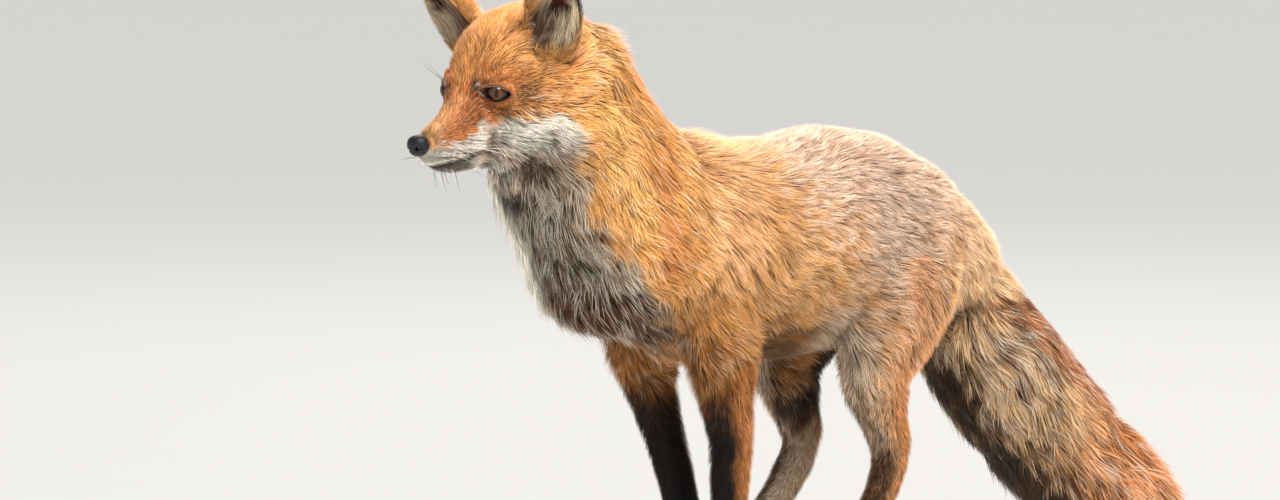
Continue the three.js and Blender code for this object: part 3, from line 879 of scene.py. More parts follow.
    def paint_ears(self, spots: Spots) -> None:
        """Black backs and rims, tan inner edges, cream hair in front and a dark reddish cup, with painted
        shade low in its deep part.
        """
        ear = smooth(0.35, 0.65, spots.of("coat_ears"))
        cup, across, high, deep = self.ear_masks(spots.points, spots.normals)
        spots.tint(Tone.EAR_BACK, ear * (1 - cup) * smooth(0.14, 0.36, high))
        spots.tint(Tone.EAR_HAIR, ear * cup * smooth(-0.95, -0.7, across))
        speck = spots.flecks(64, 6, -0.6, 0.4) * smooth(-0.8, -0.5, across)
        spots.tint(Tone.EAR_BACK, ear * cup * speck * smooth(0.1, -0.2, across) * 0.75)
        spots.tint(Tone.CROWN, ear * smooth(-0.5, -0.78, across) * smooth(0.98, 0.8, high) * 0.9)
        base = ear * cup * smooth(0.34, 0.2, high)
        spots.tint(Tone.UMBER, base * smooth(0.3, -0.1, across) * 0.75)
        spots.tint(Tone.EAR_HAIR, base * smooth(-0.1, 0.3, across) * 0.8)
        spots.tint(Tone.EAR_DEEP, ear * deep)
        # Painted shade low in the deep cup.
        spots.tint(Tone.EAR_BACK, ear * deep * smooth(0.5, 0.3, high) * 0.8)
        spots.tint(Tone.EAR_BACK, ear * smooth(0.93, 1.0, across) * smooth(0.2, 0.4, high))
        spots.frost = np.where(ear > 0.5, 0.1 + 0.3 * cup, spots.frost)


# ---- Meshes ----


NO_TRIANGLES = np.empty((0, 3), int)
NO_QUADS = np.empty((0, 4), int)


def solid(name: str, points: Array, triangles: Array, quads: Array = NO_QUADS) -> bpy.types.Object:
    """Makes a mesh object.

    Args:
        name: the piece's name.
        points: vertices in metres.
        triangles: faces of three corners.
        quads: faces of four corners.

    Returns:
        The object, linked to the scene, with smooth faces.
    """
    mesh = bpy.data.meshes.new(name)
    mesh.vertices.add(len(points))
    mesh.vertices.foreach_set("co", np.ascontiguousarray(points, np.float32).ravel())
    corners = np.concatenate([quads.ravel(), triangles.ravel()]).astype(np.int32)
    mesh.loops.add(len(corners))
    mesh.loops.foreach_set("vertex_index", corners)
    starts = np.concatenate([np.arange(len(quads)) * 4, len(quads) * 4 + np.arange(len(triangles)) * 3])
    mesh.polygons.add(len(starts))
    mesh.polygons.foreach_set("loop_start", starts.astype(np.int32))
    mesh.polygons.foreach_set("use_smooth", np.ones(len(starts), bool))
    mesh.update(calc_edges=True)
    piece = bpy.data.objects.new(name, mesh)
    bpy.context.scene.collection.objects.link(piece)
    return piece


def store(piece: bpy.types.Object, name: str, values: Array) -> None:
    """Keeps a colour, vector or number for each vertex of a piece."""
    kinds = {4: ("FLOAT_COLOR", "color"), 3: ("FLOAT_VECTOR", "vector"), 1: ("FLOAT", "value")}
    kind, slot = kinds[1 if values.ndim == 1 else values.shape[1]]
    layer = piece.data.attributes.new(name, kind, "POINT")
    layer.data.foreach_set(slot, np.ascontiguousarray(values, np.float32).ravel())


def with_alpha(colour: Array) -> Array:
    """Colours with an alpha of 1 added."""
    return np.concatenate([colour, np.ones((len(colour), 1))], axis=1)


def grid_faces(rows: int, columns: int, closed_rows: bool = False) -> Array:
    """Quads of a grid of points whose columns close into rings.

    Args:
        rows: how many rings.
        columns: points in a ring.
        closed_rows: whether the last ring meets the first.

    Returns:
        Faces of four corners.
    """
    row, column = np.meshgrid(np.arange(rows if closed_rows else rows - 1), np.arange(columns), indexing="ij")
    after, beside = (row + 1) % rows, (column + 1) % columns
    return np.stack(
        [row * columns + column, row * columns + beside, after * columns + beside, after * columns + column],
        axis=-1,
    ).reshape(-1, 4)


def tube(path: Array, radii: Array, sides: int) -> tuple[Array, Array, Array]:
    """A closed tapered tube.

    Args:
        path: its middle line.
        radii: its radius at each point of the line.
        sides: sides of its section.

    Returns:
        Points, triangles and quads.
    """
    along = unit(np.gradient(path, axis=0))
    start = unit(np.cross(along, np.array([0.31, 0.17, 0.93])))
    other = np.cross(along, start)
    angle = turns(sides)
    ring = np.cos(angle)[None, :, None] * start[:, None] + np.sin(angle)[None, :, None] * other[:, None]
    points = (path[:, None] + ring * radii[:, None, None]).reshape(-1, 3)
    rows = len(path)
    points = np.concatenate([points, path[:1], path[-1:]])
    index = np.arange(sides)
    beside = (index + 1) % sides
    first = np.stack([np.full(sides, rows * sides), beside, index], axis=1)
    top = (rows - 1) * sides
    last = np.stack([np.full(sides, rows * sides + 1), top + index, top + beside], axis=1)
    return points, np.concatenate([first, last]), grid_faces(rows, sides)


def sphere(rows: int, columns: int) -> Array:
    """Points of a unit sphere, as rings from its +Z pole to its -Z pole."""
    angle = np.linspace(0.0, math.pi, rows)[:, None]
    turn = turns(columns)[None]
    rings = [np.sin(angle) * np.cos(turn), np.sin(angle) * np.sin(turn), np.cos(angle) + 0 * turn]
    return np.stack(rings, axis=-1).reshape(-1, 3)


def gathered(parts: list[tuple[Array, Array, Array]]) -> tuple[Array, Array, Array]:
    """Joins lists of points, triangles and quads into one."""
    counts = np.cumsum([0] + [len(points) for points, _, _ in parts])
    points = np.concatenate([points for points, _, _ in parts])
    triangles = np.concatenate([triangles + count for count, (_, triangles, _) in zip(counts, parts)])
    quads = np.concatenate([quads + count for count, (_, _, quads) in zip(counts, parts)])
    return points, triangles, quads


# ---- Shader kit ----


def operator(operation: str, reflected: bool = False) -> Callable[..., Value]:
    """A Python operator of shader sockets, which adds a Math node."""

    def apply(value: Value, other: Value | float) -> Value:
        """Adds the node."""
        return value.maths(operation, other, value) if reflected else value.maths(operation, value, other)

    return apply


class Value:
    """One shader socket, on which Python's operators add Math nodes."""

    __add__, __radd__ = operator("ADD"), operator("ADD", reflected=True)
    __sub__, __rsub__ = operator("SUBTRACT"), operator("SUBTRACT", reflected=True)
    __mul__, __rmul__ = operator("MULTIPLY"), operator("MULTIPLY", reflected=True)
    __gt__ = operator("GREATER_THAN")

    def __init__(self, shader: Shader, socket: bpy.types.NodeSocket) -> None:
        """Wraps a socket of a shader."""
        self.shader = shader
        self.socket = socket

    def maths(self, operation: str, *inputs: Value | float) -> Value:
        """A Math node on some inputs."""
        return self.shader.node("ShaderNodeMath", {"operation": operation}, dict(enumerate(inputs)))

    def alone(self, operation: str) -> Value:
        """A Math node on this value alone, such as SQRT or FRACT."""
        return self.maths(operation, self)

    def step(self, low: float, high: float) -> Value:
        """A soft step from 0 at low to 1 at high."""
        inputs = {"Value": self, "From Min": low, "From Max": high}
        return self.shader.node("ShaderNodeMapRange", {"interpolation_type": "SMOOTHSTEP"}, inputs)


class Shader:
    """A material's node tree, built by calls."""

    def __init__(self, name: str) -> None:
        """Starts an empty material."""
        self.material = bpy.data.materials.new(name)
        self.material.use_nodes = True
        self.tree = self.material.node_tree
        self.tree.nodes.clear()
        self.output = self.tree.nodes.new("ShaderNodeOutputMaterial")

    def node(self, kind: str, settings: dict, inputs: dict, output: int | str = 0) -> Value:
        """Adds a node.

        Args:
            kind: its type.
            settings: its own settings, set first.
            inputs: values or links of its sockets, by name or number.
            output: the socket to hand back.

        Returns:
            That output socket.
        """
        node = self.tree.nodes.new(kind)
        for name, value in settings.items():
            if name == "stops":
                self.set_stops(node, value)
            else:
                setattr(node, name, value)
        for name, value in inputs.items():
            socket = node.inputs[name]
            if isinstance(value, Value):
                self.tree.links.new(value.socket, socket)
            else:
                socket.default_value = value
        return Value(self, node.outputs[output])

    @staticmethod
    def set_stops(node: bpy.types.Node, stops: tuple[tuple[float, Enum], ...]) -> None:
        """Sets a colour ramp's stops."""
        elements = node.color_ramp.elements
        while len(elements) < len(stops):
            elements.new(0.5)
        for element, (place, tone) in zip(elements, stops):
            element.position = place
            element.color = tone.rgba

    def attribute(self, name: str, output: str = "Color") -> Value:
        """What is stored on the mesh under a name."""
        return self.node("ShaderNodeAttribute", {"attribute_name": name}, {}, output)

    def parts(self, vector: Value) -> tuple[Value, Value, Value]:
        """The three numbers of a vector."""
        first = self.node("ShaderNodeSeparateXYZ", {}, {0: vector})
        outputs = first.socket.node.outputs
        return first, Value(self, outputs[1]), Value(self, outputs[2])

    def mix(
        self, share: Value | float, first: Value | tuple, second: Value | tuple, how: str = "MIX",
    ) -> Value:
        """Mixes two colours."""
        inputs = {0: share, 6: first, 7: second}
        return self.node("ShaderNodeMix", {"data_type": "RGBA", "blend_type": how}, inputs, 2)

    def scaled(self, colour: Value, level: Value) -> Value:
        """A colour made lighter or darker by a level."""
        grey = self.node("ShaderNodeCombineXYZ", {}, {0: level, 1: level, 2: level})
        return self.mix(1.0, colour, grey, "MULTIPLY")

    def noise(self, scale: float, detail: float = 3.0, stretch: Triple = (1, 1, 1)) -> Value:
        """Noise in the object's own metres, stretched along its axes."""
        place = self.node("ShaderNodeTexCoord", {}, {}, "Object")
        place = self.node("ShaderNodeMapping", {}, {"Vector": place, "Scale": stretch})
        return self.node("ShaderNodeTexNoise", {}, {"Vector": place, "Scale": scale, "Detail": detail})

    def bump(self, height: Value, strength: float, distance: float) -> Value:
        """A bump from a height."""
        return self.node("ShaderNodeBump", {}, {"Height": height, "Strength": strength, "Distance": distance})

    def surface(self, inputs: dict) -> bpy.types.Material:
        """Ends the material with a Principled BSDF."""
        shader = self.node("ShaderNodeBsdfPrincipled", {}, inputs)
        self.tree.links.new(shader.socket, self.output.inputs[0])
        return self.material


@dataclass(frozen=True)
class CoatFinish:
    """Tufts: painted shade darkens them towards the root, with dark and frosted hairs among them."""

    root: float = 0.28
    tip: float = 1.62
    roughness: float = 0.6

    def material(self) -> bpy.types.Material:
        """The coat's material."""
        shader = Shader("fox_coat")
        along, chance, frost = shader.parts(shader.attribute("strand", "Vector"))
        # Painted shade: each tuft darkens from tip to root, standing in for shade between the tufts.
        shade = self.root + (self.tip - self.root) * along.step(0.05, 1.0)
        shade = shade * (0.7 + 0.6 * (chance * 7.31).alone("FRACT"))
        colour = shader.scaled(shader.attribute("marking"), shade)
        dark = (frost * 0.28 > chance) * along.step(0.15, 0.5)
        colour = shader.mix(dark * 0.6, colour, Tone.UMBER.rgba)
        pale = (chance > 1.0 - frost * 0.4) * along.step(0.35, 0.8)
        colour = shader.mix(pale * 0.5, colour, Tone.CREAM.rgba)
        return shader.surface({
            "Base Color": colour, "Roughness": self.roughness, "Specular IOR Level": 0.25,
            "Sheen Weight": 0.12, "Sheen Roughness": 0.4,
        })


@dataclass(frozen=True)
class SkinFinish:
    """Skin under the coat: the same markings, darkened by painted shade where fur covers it, with short
    underfur as bump.
    """

    shade: float = 0.5

    def material(self) -> bpy.types.Material:
        """The skin's material."""
        shader = Shader("fox_skin")
        marking = shader.attribute("marking")
        bare = shader.attribute("bare", "Fac")
        fur = shader.noise(900.0, 2.0, (1.0, 0.3, 0.6))
        grain = shader.noise(2600.0, 2.0)
        # Painted shade: skin under the fur renders at the shade level, bare skin at its full colour.
        level = (self.shade + bare * (1.0 - self.shade)) * (0.75 + 0.5 * fur)
        colour = shader.scaled(marking, level)
        height = fur * (1.0 - bare) + 0.25 * grain
        return shader.surface({
            "Base Color": colour, "Roughness": 0.62 - 0.2 * bare, "Specular IOR Level": 0.2,
            "Normal": shader.bump(height, 0.6, 0.0008),
        })


class EyeTone(Enum):
    """Colours of the eye, as sRGB values out of 255."""

    INNER = (104, 54, 12)
    AMBER = (84, 44, 11)
    BROWN = (50, 27, 10)
    LIMBUS = (16, 11, 10)
    WHITE = (40, 30, 28)
    PUPIL = (4, 4, 6)

    linear = Tone.linear
    rgba = Tone.rgba


IRIS_STOPS = ((0.25, EyeTone.INNER), (0.5, EyeTone.AMBER), (0.62, EyeTone.BROWN), (0.72, EyeTone.LIMBUS))


@dataclass(frozen=True)
class EyeFinish:
    """Amber-brown iris with fine spokes, an upright pupil and a wet surface."""

    iris: float = 0.73
    pupil: float = 0.30
    narrowness: float = 1.75

    def material(self) -> bpy.types.Material:
        """The eye's material."""
        shader = Shader("fox_eye")
        across, up, _ = shader.parts(shader.attribute("gaze", "Vector"))
        ring = (across * across + up * up).alone("SQRT")
        narrow = across * self.narrowness
        slit = (narrow * narrow + up * up * 0.8).alone("SQRT")
        spokes = shader.noise(700.0, 4.0)
        amber = shader.node("ShaderNodeValToRGB", {"stops": IRIS_STOPS}, {0: ring + 0.08 * (spokes - 0.5)})
        colour = shader.scaled(amber, 0.65 + 0.7 * spokes)
        colour = shader.mix(ring.step(self.iris, self.iris + 0.06), colour, EyeTone.WHITE.rgba)
        colour = shader.mix(slit.step(self.pupil + 0.05, self.pupil), colour, EyeTone.PUPIL.rgba)
        return shader.surface({
            "Base Color": colour, "Roughness": 0.3, "Specular IOR Level": 0.0,
            "Coat Weight": 1.0, "Coat Roughness": 0.02,
        })


@dataclass(frozen=True)
class LeatherFinish:
    """Damp pebbled leather of the nose and pads."""

    name: str
    tone: Triple
    roughness: float

    def material(self) -> bpy.types.Material:
        """The leather's material."""
        shader = Shader(self.name)
        place = shader.node("ShaderNodeTexCoord", {}, {}, "Object")
        cells = {"Vector": place, "Scale": 1500.0}
        pebble = shader.node("ShaderNodeTexVoronoi", {"feature": "DISTANCE_TO_EDGE"}, cells)
        worn = shader.noise(300.0)
        low = (*self.tone, 1.0)
        high = (*(channel * 1.7 + 0.002 for channel in self.tone), 1.0)
        return shader.surface({
            "Base Color": shader.mix(worn, low, high), "Roughness": self.roughness + 0.2 * worn,
            "Specular IOR Level": 0.45, "Normal": shader.bump(pebble.step(0.0, 0.25), 0.3, 0.00025),
        })


@dataclass(frozen=True)
class HornFinish:
    """Claws: dark horn with paler streaks."""

    def material(self) -> bpy.types.Material:
        """The horn's material."""
        shader = Shader("fox_horn")
        streak = shader.noise(420.0, 4.0, (3.0, 0.4, 1.0))
        return shader.surface({
            "Base Color": shader.mix(streak, (0.028, 0.02, 0.016, 1.0), (0.16, 0.12, 0.09, 1.0)),
            "Roughness": 0.3 + 0.2 * streak,
        })


@dataclass(frozen=True)
class HairFinish:
    """Whiskers: one stiff hair's colour."""

    name: str
    dark: Tone
    pale: Tone

    def material(self) -> bpy.types.Material:
        """The hair's material."""
        shader = Shader(self.name)
        colour = shader.mix(shader.noise(120.0), self.dark.rgba, self.pale.rgba)
        return shader.surface({"Base Color": colour, "Roughness": 0.4})


@dataclass(frozen=True)
class FloorFinish:
    """A plain pale studio floor that keeps the fox's shadow."""

    tone: Triple = (0.80, 0.79, 0.77)
    glow: float = 0.72

    def material(self) -> bpy.types.Material:
        """The floor's material."""
        shader = Shader("studio_floor")
        path = shader.node("ShaderNodeLightPath", {}, {}, "Is Camera Ray")
        outputs = path.socket.node.outputs
        seen = path + Value(shader, outputs["Is Glossy Ray"]) + Value(shader, outputs["Is Transmission Ray"])
        grain = shader.noise(3.0)
        tone = (*self.tone, 1.0)
        cooler = (*(channel * 0.97 for channel in self.tone), 1.0)
        diffuse = shader.node("ShaderNodeBsdfDiffuse", {}, {"Color": shader.mix(grain, tone, cooler)})
        light = shader.node("ShaderNodeEmission", {}, {"Color": tone, "Strength": 1.0})
        share = seen.maths("MINIMUM", seen, 1.0) * self.glow
        both = shader.node("ShaderNodeMixShader", {}, {0: share, 1: diffuse, 2: light})
        shader.tree.links.new(both.socket, shader.output.inputs[0])
        return shader.material


# ---- Skin ----


@dataclass
class Surface:
    """Points of the skin with what grows on them."""

    points: Array
    normals: Array
    triangles: Array
    bare: Array
    flesh: Volume


@dataclass
class Volume:
    """A box of distances to a surface, negative inside it."""

    values: Array
    corner: Array
    voxel: float

    def places(self, step: int = 1) -> Array:
        """World places of every voxel, or of every step-th one along each side."""
        axes = [np.arange(0, count + step, step) for count in self.values.shape]
        index = np.stack(np.meshgrid(*axes, indexing="ij"), axis=-1).reshape(-1, 3)
        return (index + self.corner) * self.voxel

    def within(self, first: Array, last: Array) -> tuple[tuple[slice, ...], Array]:
        """A box of voxels between two of them, as slices of the values, and their places."""
        spans = list(zip(first, last))
        index = np.stack(np.meshgrid(*(np.arange(a, b) for a, b in spans), indexing="ij"), axis=-1)
        return tuple(slice(a, b) for a, b in spans), (index.reshape(-1, 3) + self.corner) * self.voxel

    def spread(self, coarse: Array, step: int) -> Array:
        """Values known at every step-th voxel, blended to every voxel."""
        axes = [len(np.arange(0, count + step, step)) for count in self.values.shape]
        field_values = coarse.reshape(axes)
        for axis, count in enumerate(self.values.shape):
            place = np.arange(count) / step
            low = place.astype(int)
            share = (place - low).reshape([-1 if other == axis else 1 for other in range(3)])
            first = np.take(field_values, low, axis)
            second = np.take(field_values, np.minimum(low + 1, field_values.shape[axis] - 1), axis)
            field_values = first + (second - first) * share
        return field_values

    def sample(self, points: Array) -> Array:
        """Distances at some places, blended between voxels."""
        place = np.clip(points / self.voxel - self.corner, 0, np.array(self.values.shape) - 1.001)
        low = place.astype(int)
        share = place - low
        total = np.zeros(len(points))
        for corner in np.ndindex(2, 2, 2):
            weight = np.prod(np.where(corner, share, 1 - share), axis=1)
            total += weight * self.values[tuple((low + corner).T)]
        return total

    def kept_within(self, points: Array, allowed: Array) -> Array:
        """Points, with those further outside than allowed drawn back towards the surface."""
        for _ in range(3):
            away = np.maximum(self.sample(points) - allowed, 0.0)
            steps = np.eye(3) * 1.5 * self.voxel
            slope = [self.sample(points + step) - self.sample(points - step) for step in steps]
            points = points - unit(np.stack(slope, axis=1)) * away[:, None]
        return points

    def blurred(self, sigma: float) -> Array:
        """The values after a Gaussian blur of sigma voxels."""
        reach = int(math.ceil(2.5 * sigma))
        kernel = np.exp(-0.5 * (np.arange(-reach, reach + 1) / sigma) ** 2)
        kernel = kernel / kernel.sum()
        result = self.values
        for axis in range(3):
            margins = [(reach, reach) if other == axis else (0, 0) for other in range(3)]
            padded = np.pad(result, margins, "edge")
            near = np.arange(result.shape[axis])
            result = sum(weight * np.take(padded, near + shift, axis) for shift, weight in enumerate(kernel))
        return result


@dataclass
class Eyelids:
    """Lids round one eyeball: an almond opening with a dark rim, in the eyeball's own frame."""

    marks: Landmarks
    side: str
    rows: int = 18
    columns: int = 72
    lateral: float = math.radians(41)
    lift: float = math.radians(4)
    slant: float = math.radians(13)
    inner: float = math.radians(70)
    outer: float = math.radians(66)
    upper: float = math.radians(36)
    lower: float = math.radians(32)
    inner_reach: float = 1.58
    outer_reach: float = 1.18
    back: float = math.radians(112)
    back_rows: int = 6
    centre: Array = field(init=False)
    radius: float = field(init=False)
    axes: Array = field(init=False)

    ALMOND = 1.5
    GAP_AT = (0, 0.06, 0.2, 0.5, 0.8, 1)
    GAPS = (0.45, 0.9, 1.15, 1.3, 0.6, -1.6)

    def __post_init__(self) -> None:
        """Sets the eyeball's place and its gaze, outward and upward directions."""
        sign = SIDES[self.side]
        low, high = self.marks.boxes[f"eye_{self.side}"]
        self.centre = (low + high) / 2
        self.radius = float((high - low).min()) / 2
        level = math.cos(self.lift)
        out, ahead = math.sin(self.lateral) * level, math.cos(self.lateral) * level
        gaze = self.marks.head_lie(sign * out, -ahead, math.sin(self.lift))
        aside = self.marks.head_lie(sign, 0, 0)
        outward = unit(aside - gaze * (gaze @ aside))
        upward = np.cross(gaze, outward) * -sign
        outward, upward = (
            outward * math.cos(self.slant) + upward * math.sin(self.slant),
            upward * math.cos(self.slant) - outward * math.sin(self.slant),
        )
        self.axes = np.array([outward, upward, gaze])

    def opening(self, turn: Array) -> Array:
        """Angle from the gaze to the rim, for each turn round it from the outer corner."""
        wide = np.where(np.cos(turn) > 0, self.outer, self.inner)
        tall = np.where(np.sin(turn) > 0, self.upper, self.lower)
        across, up = np.abs(np.cos(turn)) / wide, np.abs(np.sin(turn)) / tall
        return (across ** self.ALMOND + up ** self.ALMOND) ** (-1 / self.ALMOND)

    def stretched(self, local: Array) -> Array:
        """Places of the eyeball's frame, drawn out sideways to the almond's corners."""
        side = local[:, 0] / np.maximum(norms(local[:, :2]), 1e-9)
        reach = np.where(side > 0, self.outer_reach, self.inner_reach)
        same = np.ones(len(local))
        return local * np.stack([1 + (reach - 1) * side ** 2, same, same], axis=1)

    def build(self) -> tuple[Array, Array, Array, Array]:
        """Makes the lids.

        Returns:
            Points, quads, how bare each point is, and its colour.
        """
        turn = turns(self.columns)
        rim = self.opening(turn)
        front = np.linspace(0, 1, self.rows - self.back_rows)
        behind = np.linspace(1, 0, self.back_rows)
        share = np.concatenate([front, behind])
        gap = np.concatenate([np.interp(front, self.GAP_AT, self.GAPS), 0.12 - 2.0 * behind]) * MM
        inside = np.ones(self.back_rows)
        bare = np.concatenate([smooth(0.2, 0.12, front), inside])
        tone = np.concatenate([smooth(0.16, 0.08, front), inside])
        points = []
        for part, height in zip(share, gap):
            angle = rim + (self.back - rim) * part
            local = [np.sin(angle) * np.cos(turn), np.sin(angle) * np.sin(turn), np.cos(angle)]
            spread = self.stretched(np.stack(local, axis=1))
            points.append(self.centre + (self.radius + height) * spread @ self.axes)
        quads = grid_faces(self.rows, self.columns, closed_rows=True)
        if SIDES[self.side] < 0:
            quads = quads[:, ::-1]
        mask = np.repeat(tone, self.columns)
        colour = mixed(np.tile(Tone.FACE.linear, (len(mask), 1)), Tone.EYE_RIM, mask)
        low_side = np.tile(smooth(-0.25, -0.6, np.sin(turn)), self.rows)
        corner = np.tile(smooth(-0.8, -0.95, np.cos(turn)), self.rows)
        edge = np.repeat(smooth(0.07, 0.03, np.concatenate([front, 0 * inside])), self.columns)
        colour = mixed(colour, Tone.TEAR, np.maximum(low_side * 0.7 * edge, corner * 0.75) * mask)
        return np.concatenate(points), quads, np.repeat(bare, self.columns), colour


@dataclass
class Skin:
    """One skin over the whole fox, inside the solids of flesh by the coat's depth."""

    marks: Landmarks
    plan: CoatPlan
    markings: Markings
    voxel: float = 2.2 * MM
    band: int = 17
    step: int = 4
    closing: float = 0.6 * MM
    socket: float = 10 * MM
    clearance: float = 0.6 * MM

    BROW = ((17, -12, 10), (31, 3, 14), 3.0)
    CHEEK = ((26, 8, -14), (37, 26, -11), 6.5)
    LIP = ((3, -64, -40), (17, -34, -42), 1.6)
    MOUTH_CORNER = ((17, -34, -42), (24, -6, -42), 1.6)
    ORBIT = (1.35, 1.0, 1.0)
    SOCKET = (1.5, 0.8, 1.1)
    NOSE_AT = (0, -66, -25)
    NOSE_RADII = (11.5, 9.5, 9.8)
    LIP_LEVEL = -42.5

    def voxels(self) -> Volume:
        """Distances to the outside of all flesh nodes together, with the gaps between them closed."""
        points, triangles, count = [], [], 0
        for name, vertices in self.marks.vertices.items():
            if name not in SEPARATE:
                points.append(vertices)
                triangles.append(self.marks.triangles[name] + count)
                count += len(vertices)
        transform = openvdb.createLinearTransform(voxelSize=self.voxel)
        rough = openvdb.FloatGrid.createLevelSetFromPolygons(
            np.concatenate(points).astype(np.float32),
            triangles=np.concatenate(triangles).astype(np.uint32), transform=transform, halfWidth=3.0,
        )
        shell, quads = rough.convertToQuads(self.closing)
        grid = openvdb.FloatGrid.createLevelSetFromPolygons(
            shell, quads=quads, transform=transform, halfWidth=float(self.band),
        )
        low, high = grid.evalActiveVoxelBoundingBox()
        low = np.array(low)
        values = np.empty(np.array(high) - low + 1, np.float32)
        grid.copyToArray(values, ijk=tuple(int(number) for number in low))
        return Volume(values + self.closing, low, self.voxel)

    def inset(self, volume: Volume) -> Array:
        """Distances to the skin: the flesh smoothed, and drawn in by the coat's depth."""
        coarse = volume.places(self.step)
        shares = self.plan.weights(coarse)
        depth = volume.spread(self.plan.measure(shares, "depth") * MM, self.step)
        ear = volume.spread(self.plan.share(shares, "coat_ears"), self.step)
        soft = volume.blurred(1.3)
        thin = smooth(0.2, 0.6, ear)
        return np.array(soft + (volume.values - soft) * thin + depth)

    def carve(self, volume: Volume, values: Array, lids: list[Eyelids]) -> Array:
        """Shapes the head: brows, cheeks, orbits, eye sockets and lip grooves."""
        boxes = [self.marks.boxes[name] for name in ("muzzle", "lower_jaw", "head")]
        low, high = np.min(boxes, axis=(0, 1)), np.max(boxes, axis=(0, 1))
        first = np.maximum(np.floor(low / self.voxel).astype(int) - volume.corner, 0)
        last = np.minimum(np.ceil(high / self.voxel).astype(int) - volume.corner, values.shape)
        part, places = volume.within(first, last)
        inside = values[part].reshape(-1)
        head = self.marks.from_head(places) * MM
        head[:, 0] = np.abs(head[:, 0])
        for capsule, blend in ((self.BROW, 5.0), (self.CHEEK, 6.0)):
            inside = self.joined(inside, self.capsule(head, *capsule), blend * MM)
        for lid in lids:
            local = (places - lid.centre) @ lid.axes.T
            orbit = norms(local / self.ORBIT) - lid.radius
            inside = self.joined(inside, orbit, 4.0 * MM)
            middle = [-2.2 * MM, 0, 0.9 * lid.radius]
            socket = norms((local - middle) / self.SOCKET) - self.socket
            ball = norms(local) - lid.radius - self.clearance
            inside = np.maximum(inside, -np.minimum(socket, ball))
        groove = np.minimum(self.capsule(head, *self.LIP), self.capsule(head, *self.MOUTH_CORNER))
        inside = -self.joined(-inside, groove, 1.5 * MM)
        values[part] = inside.reshape(values[part].shape)
        return values

    def hollow_ears(self, volume: Volume, values: Array) -> Array:
        """Deepens the cups of the ears."""
        for ear in self.markings.ears:
            box = self.marks.boxes[f"ear_{ear.side}"]
            first, last = (np.round(corner / self.voxel).astype(int) - volume.corner for corner in box)
            part, places = volume.within(first, np.minimum(last, values.shape))
            values[part] = np.maximum(values[part], -ear.hollow(places).reshape(values[part].shape))
        return values

    @staticmethod
    def capsule(points: Array, start: Triple, end: Triple, radius: float) -> Array:
        """Distance to a capsule given in millimetres."""
        first, run = np.array(start) * MM, (np.array(end) - np.array(start)) * MM
        t = np.clip((points - first) @ run / (run @ run), 0, 1)
        return norms(points - first - t[:, None] * run) - radius * MM

    @staticmethod
    def joined(first: Array, second: Array, blend: float) -> Array:
        """Two distances joined with a fillet."""
        share = np.clip(0.5 + 0.5 * (second - first) / blend, 0, 1)
        return second + (first - second) * share - blend * share * (1 - share)

    def build(self) -> tuple[bpy.types.Object, Surface]:
        """Makes the skin, and hands back its points for the coat to grow from."""
        lids = [Eyelids(self.marks, side) for side in SIDES]
        volume = self.voxels()
        values = self.hollow_ears(volume, self.carve(volume, self.inset(volume), lids))
        grid = openvdb.FloatGrid(float(self.band * self.voxel))
        grid.transform = openvdb.createLinearTransform(voxelSize=self.voxel)
        grid.copyFromArray(values.astype(np.float32), ijk=tuple(int(number) for number in volume.corner))
        points, quads = grid.convertToQuads(0.0)
        points, quads = self.biggest(np.asarray(points, float), np.asarray(quads, int))
        bare = np.zeros(len(points))
        shares = self.plan.weights(points)
        normals = self.directions(points, quads)
        colour, _ = self.markings.paint(points, normals, shares)
        for lid in lids:
            more, faces, naked, tint = lid.build()
            quads = np.concatenate([quads, faces + len(points)])
            points = np.concatenate([points, more])
            bare = np.concatenate([bare, naked])
            colour = np.concatenate([colour, tint])
        head = self.marks.from_head(points)
        nose_gap = norms((head - self.NOSE_AT) / self.NOSE_RADII)
        lip = smooth(2.4, 1.0, np.abs(head[:, 2] - self.LIP_LEVEL))
        lip = lip * smooth(-2, -8, head[:, 1]) * smooth(-70, -64, head[:, 1])
        bare = np.maximum.reduce([bare, smooth(1.1, 1.0, nose_gap), lip])
        for lid in lids:
            away = (norms(points - lid.centre) - lid.radius) / MM
            facing = unit(points - lid.centre) @ lid.axes[2]
            bare = np.maximum(bare, smooth(0.9, 0.4, away) * (facing > -0.3))
        sole = smooth(0.006, 0.0035, points[:, 2]) * smooth(0.15, 0.0, points[:, 1])
        bare = np.maximum(bare, sole)
        normals = self.directions(points, quads)
        piece = solid("fox_skin", points, NO_TRIANGLES, quads)
        store(piece, "marking", with_alpha(colour))
        store(piece, "bare", bare)
        triangles = np.concatenate([quads[:, [0, 1, 2]], quads[:, [0, 2, 3]]])
        return piece, Surface(points, normals, triangles, bare, volume)

    @staticmethod
    def biggest(points: Array, quads: Array) -> tuple[Array, Array]:
        """Keeps the largest of the closed surfaces."""
        label = np.arange(len(points))
        while True:
            lowest = label[quads].min(1)
            new = label.copy()
            for corner in range(4):
                np.minimum.at(new, quads[:, corner], lowest)
            new = new[new]
            if np.array_equal(new, label):
                break
            label = new
        names, counts = np.unique(label, return_counts=True)
        kept = label == names[counts.argmax()]
        index = np.cumsum(kept) - 1
        return points[kept], index[quads[kept[quads[:, 0]]]]

    @staticmethod
    def directions(points: Array, quads: Array) -> Array:
        """The surface's direction at each point."""
        face = np.cross(points[quads[:, 2]] - points[quads[:, 0]], points[quads[:, 3]] - points[quads[:, 1]])
        total = np.zeros_like(points)
        for corner in range(4):
            for axis in range(3):
                total[:, axis] += np.bincount(quads[:, corner], face[:, axis], len(points))
        return unit(total)


# ---- Coat ----


@dataclass
class Roots:
    """Where tufts grow, and their measures in metres."""

    places: Array
    normals: Array
    shares: Array
    lie: Array
    length: Array
    width: Array
    depth: Array
    clump: Array
    chance: Array


class TuftKind(Enum):
    """How a tuft is built."""

    SPIKE = 4
    LOCK = 6


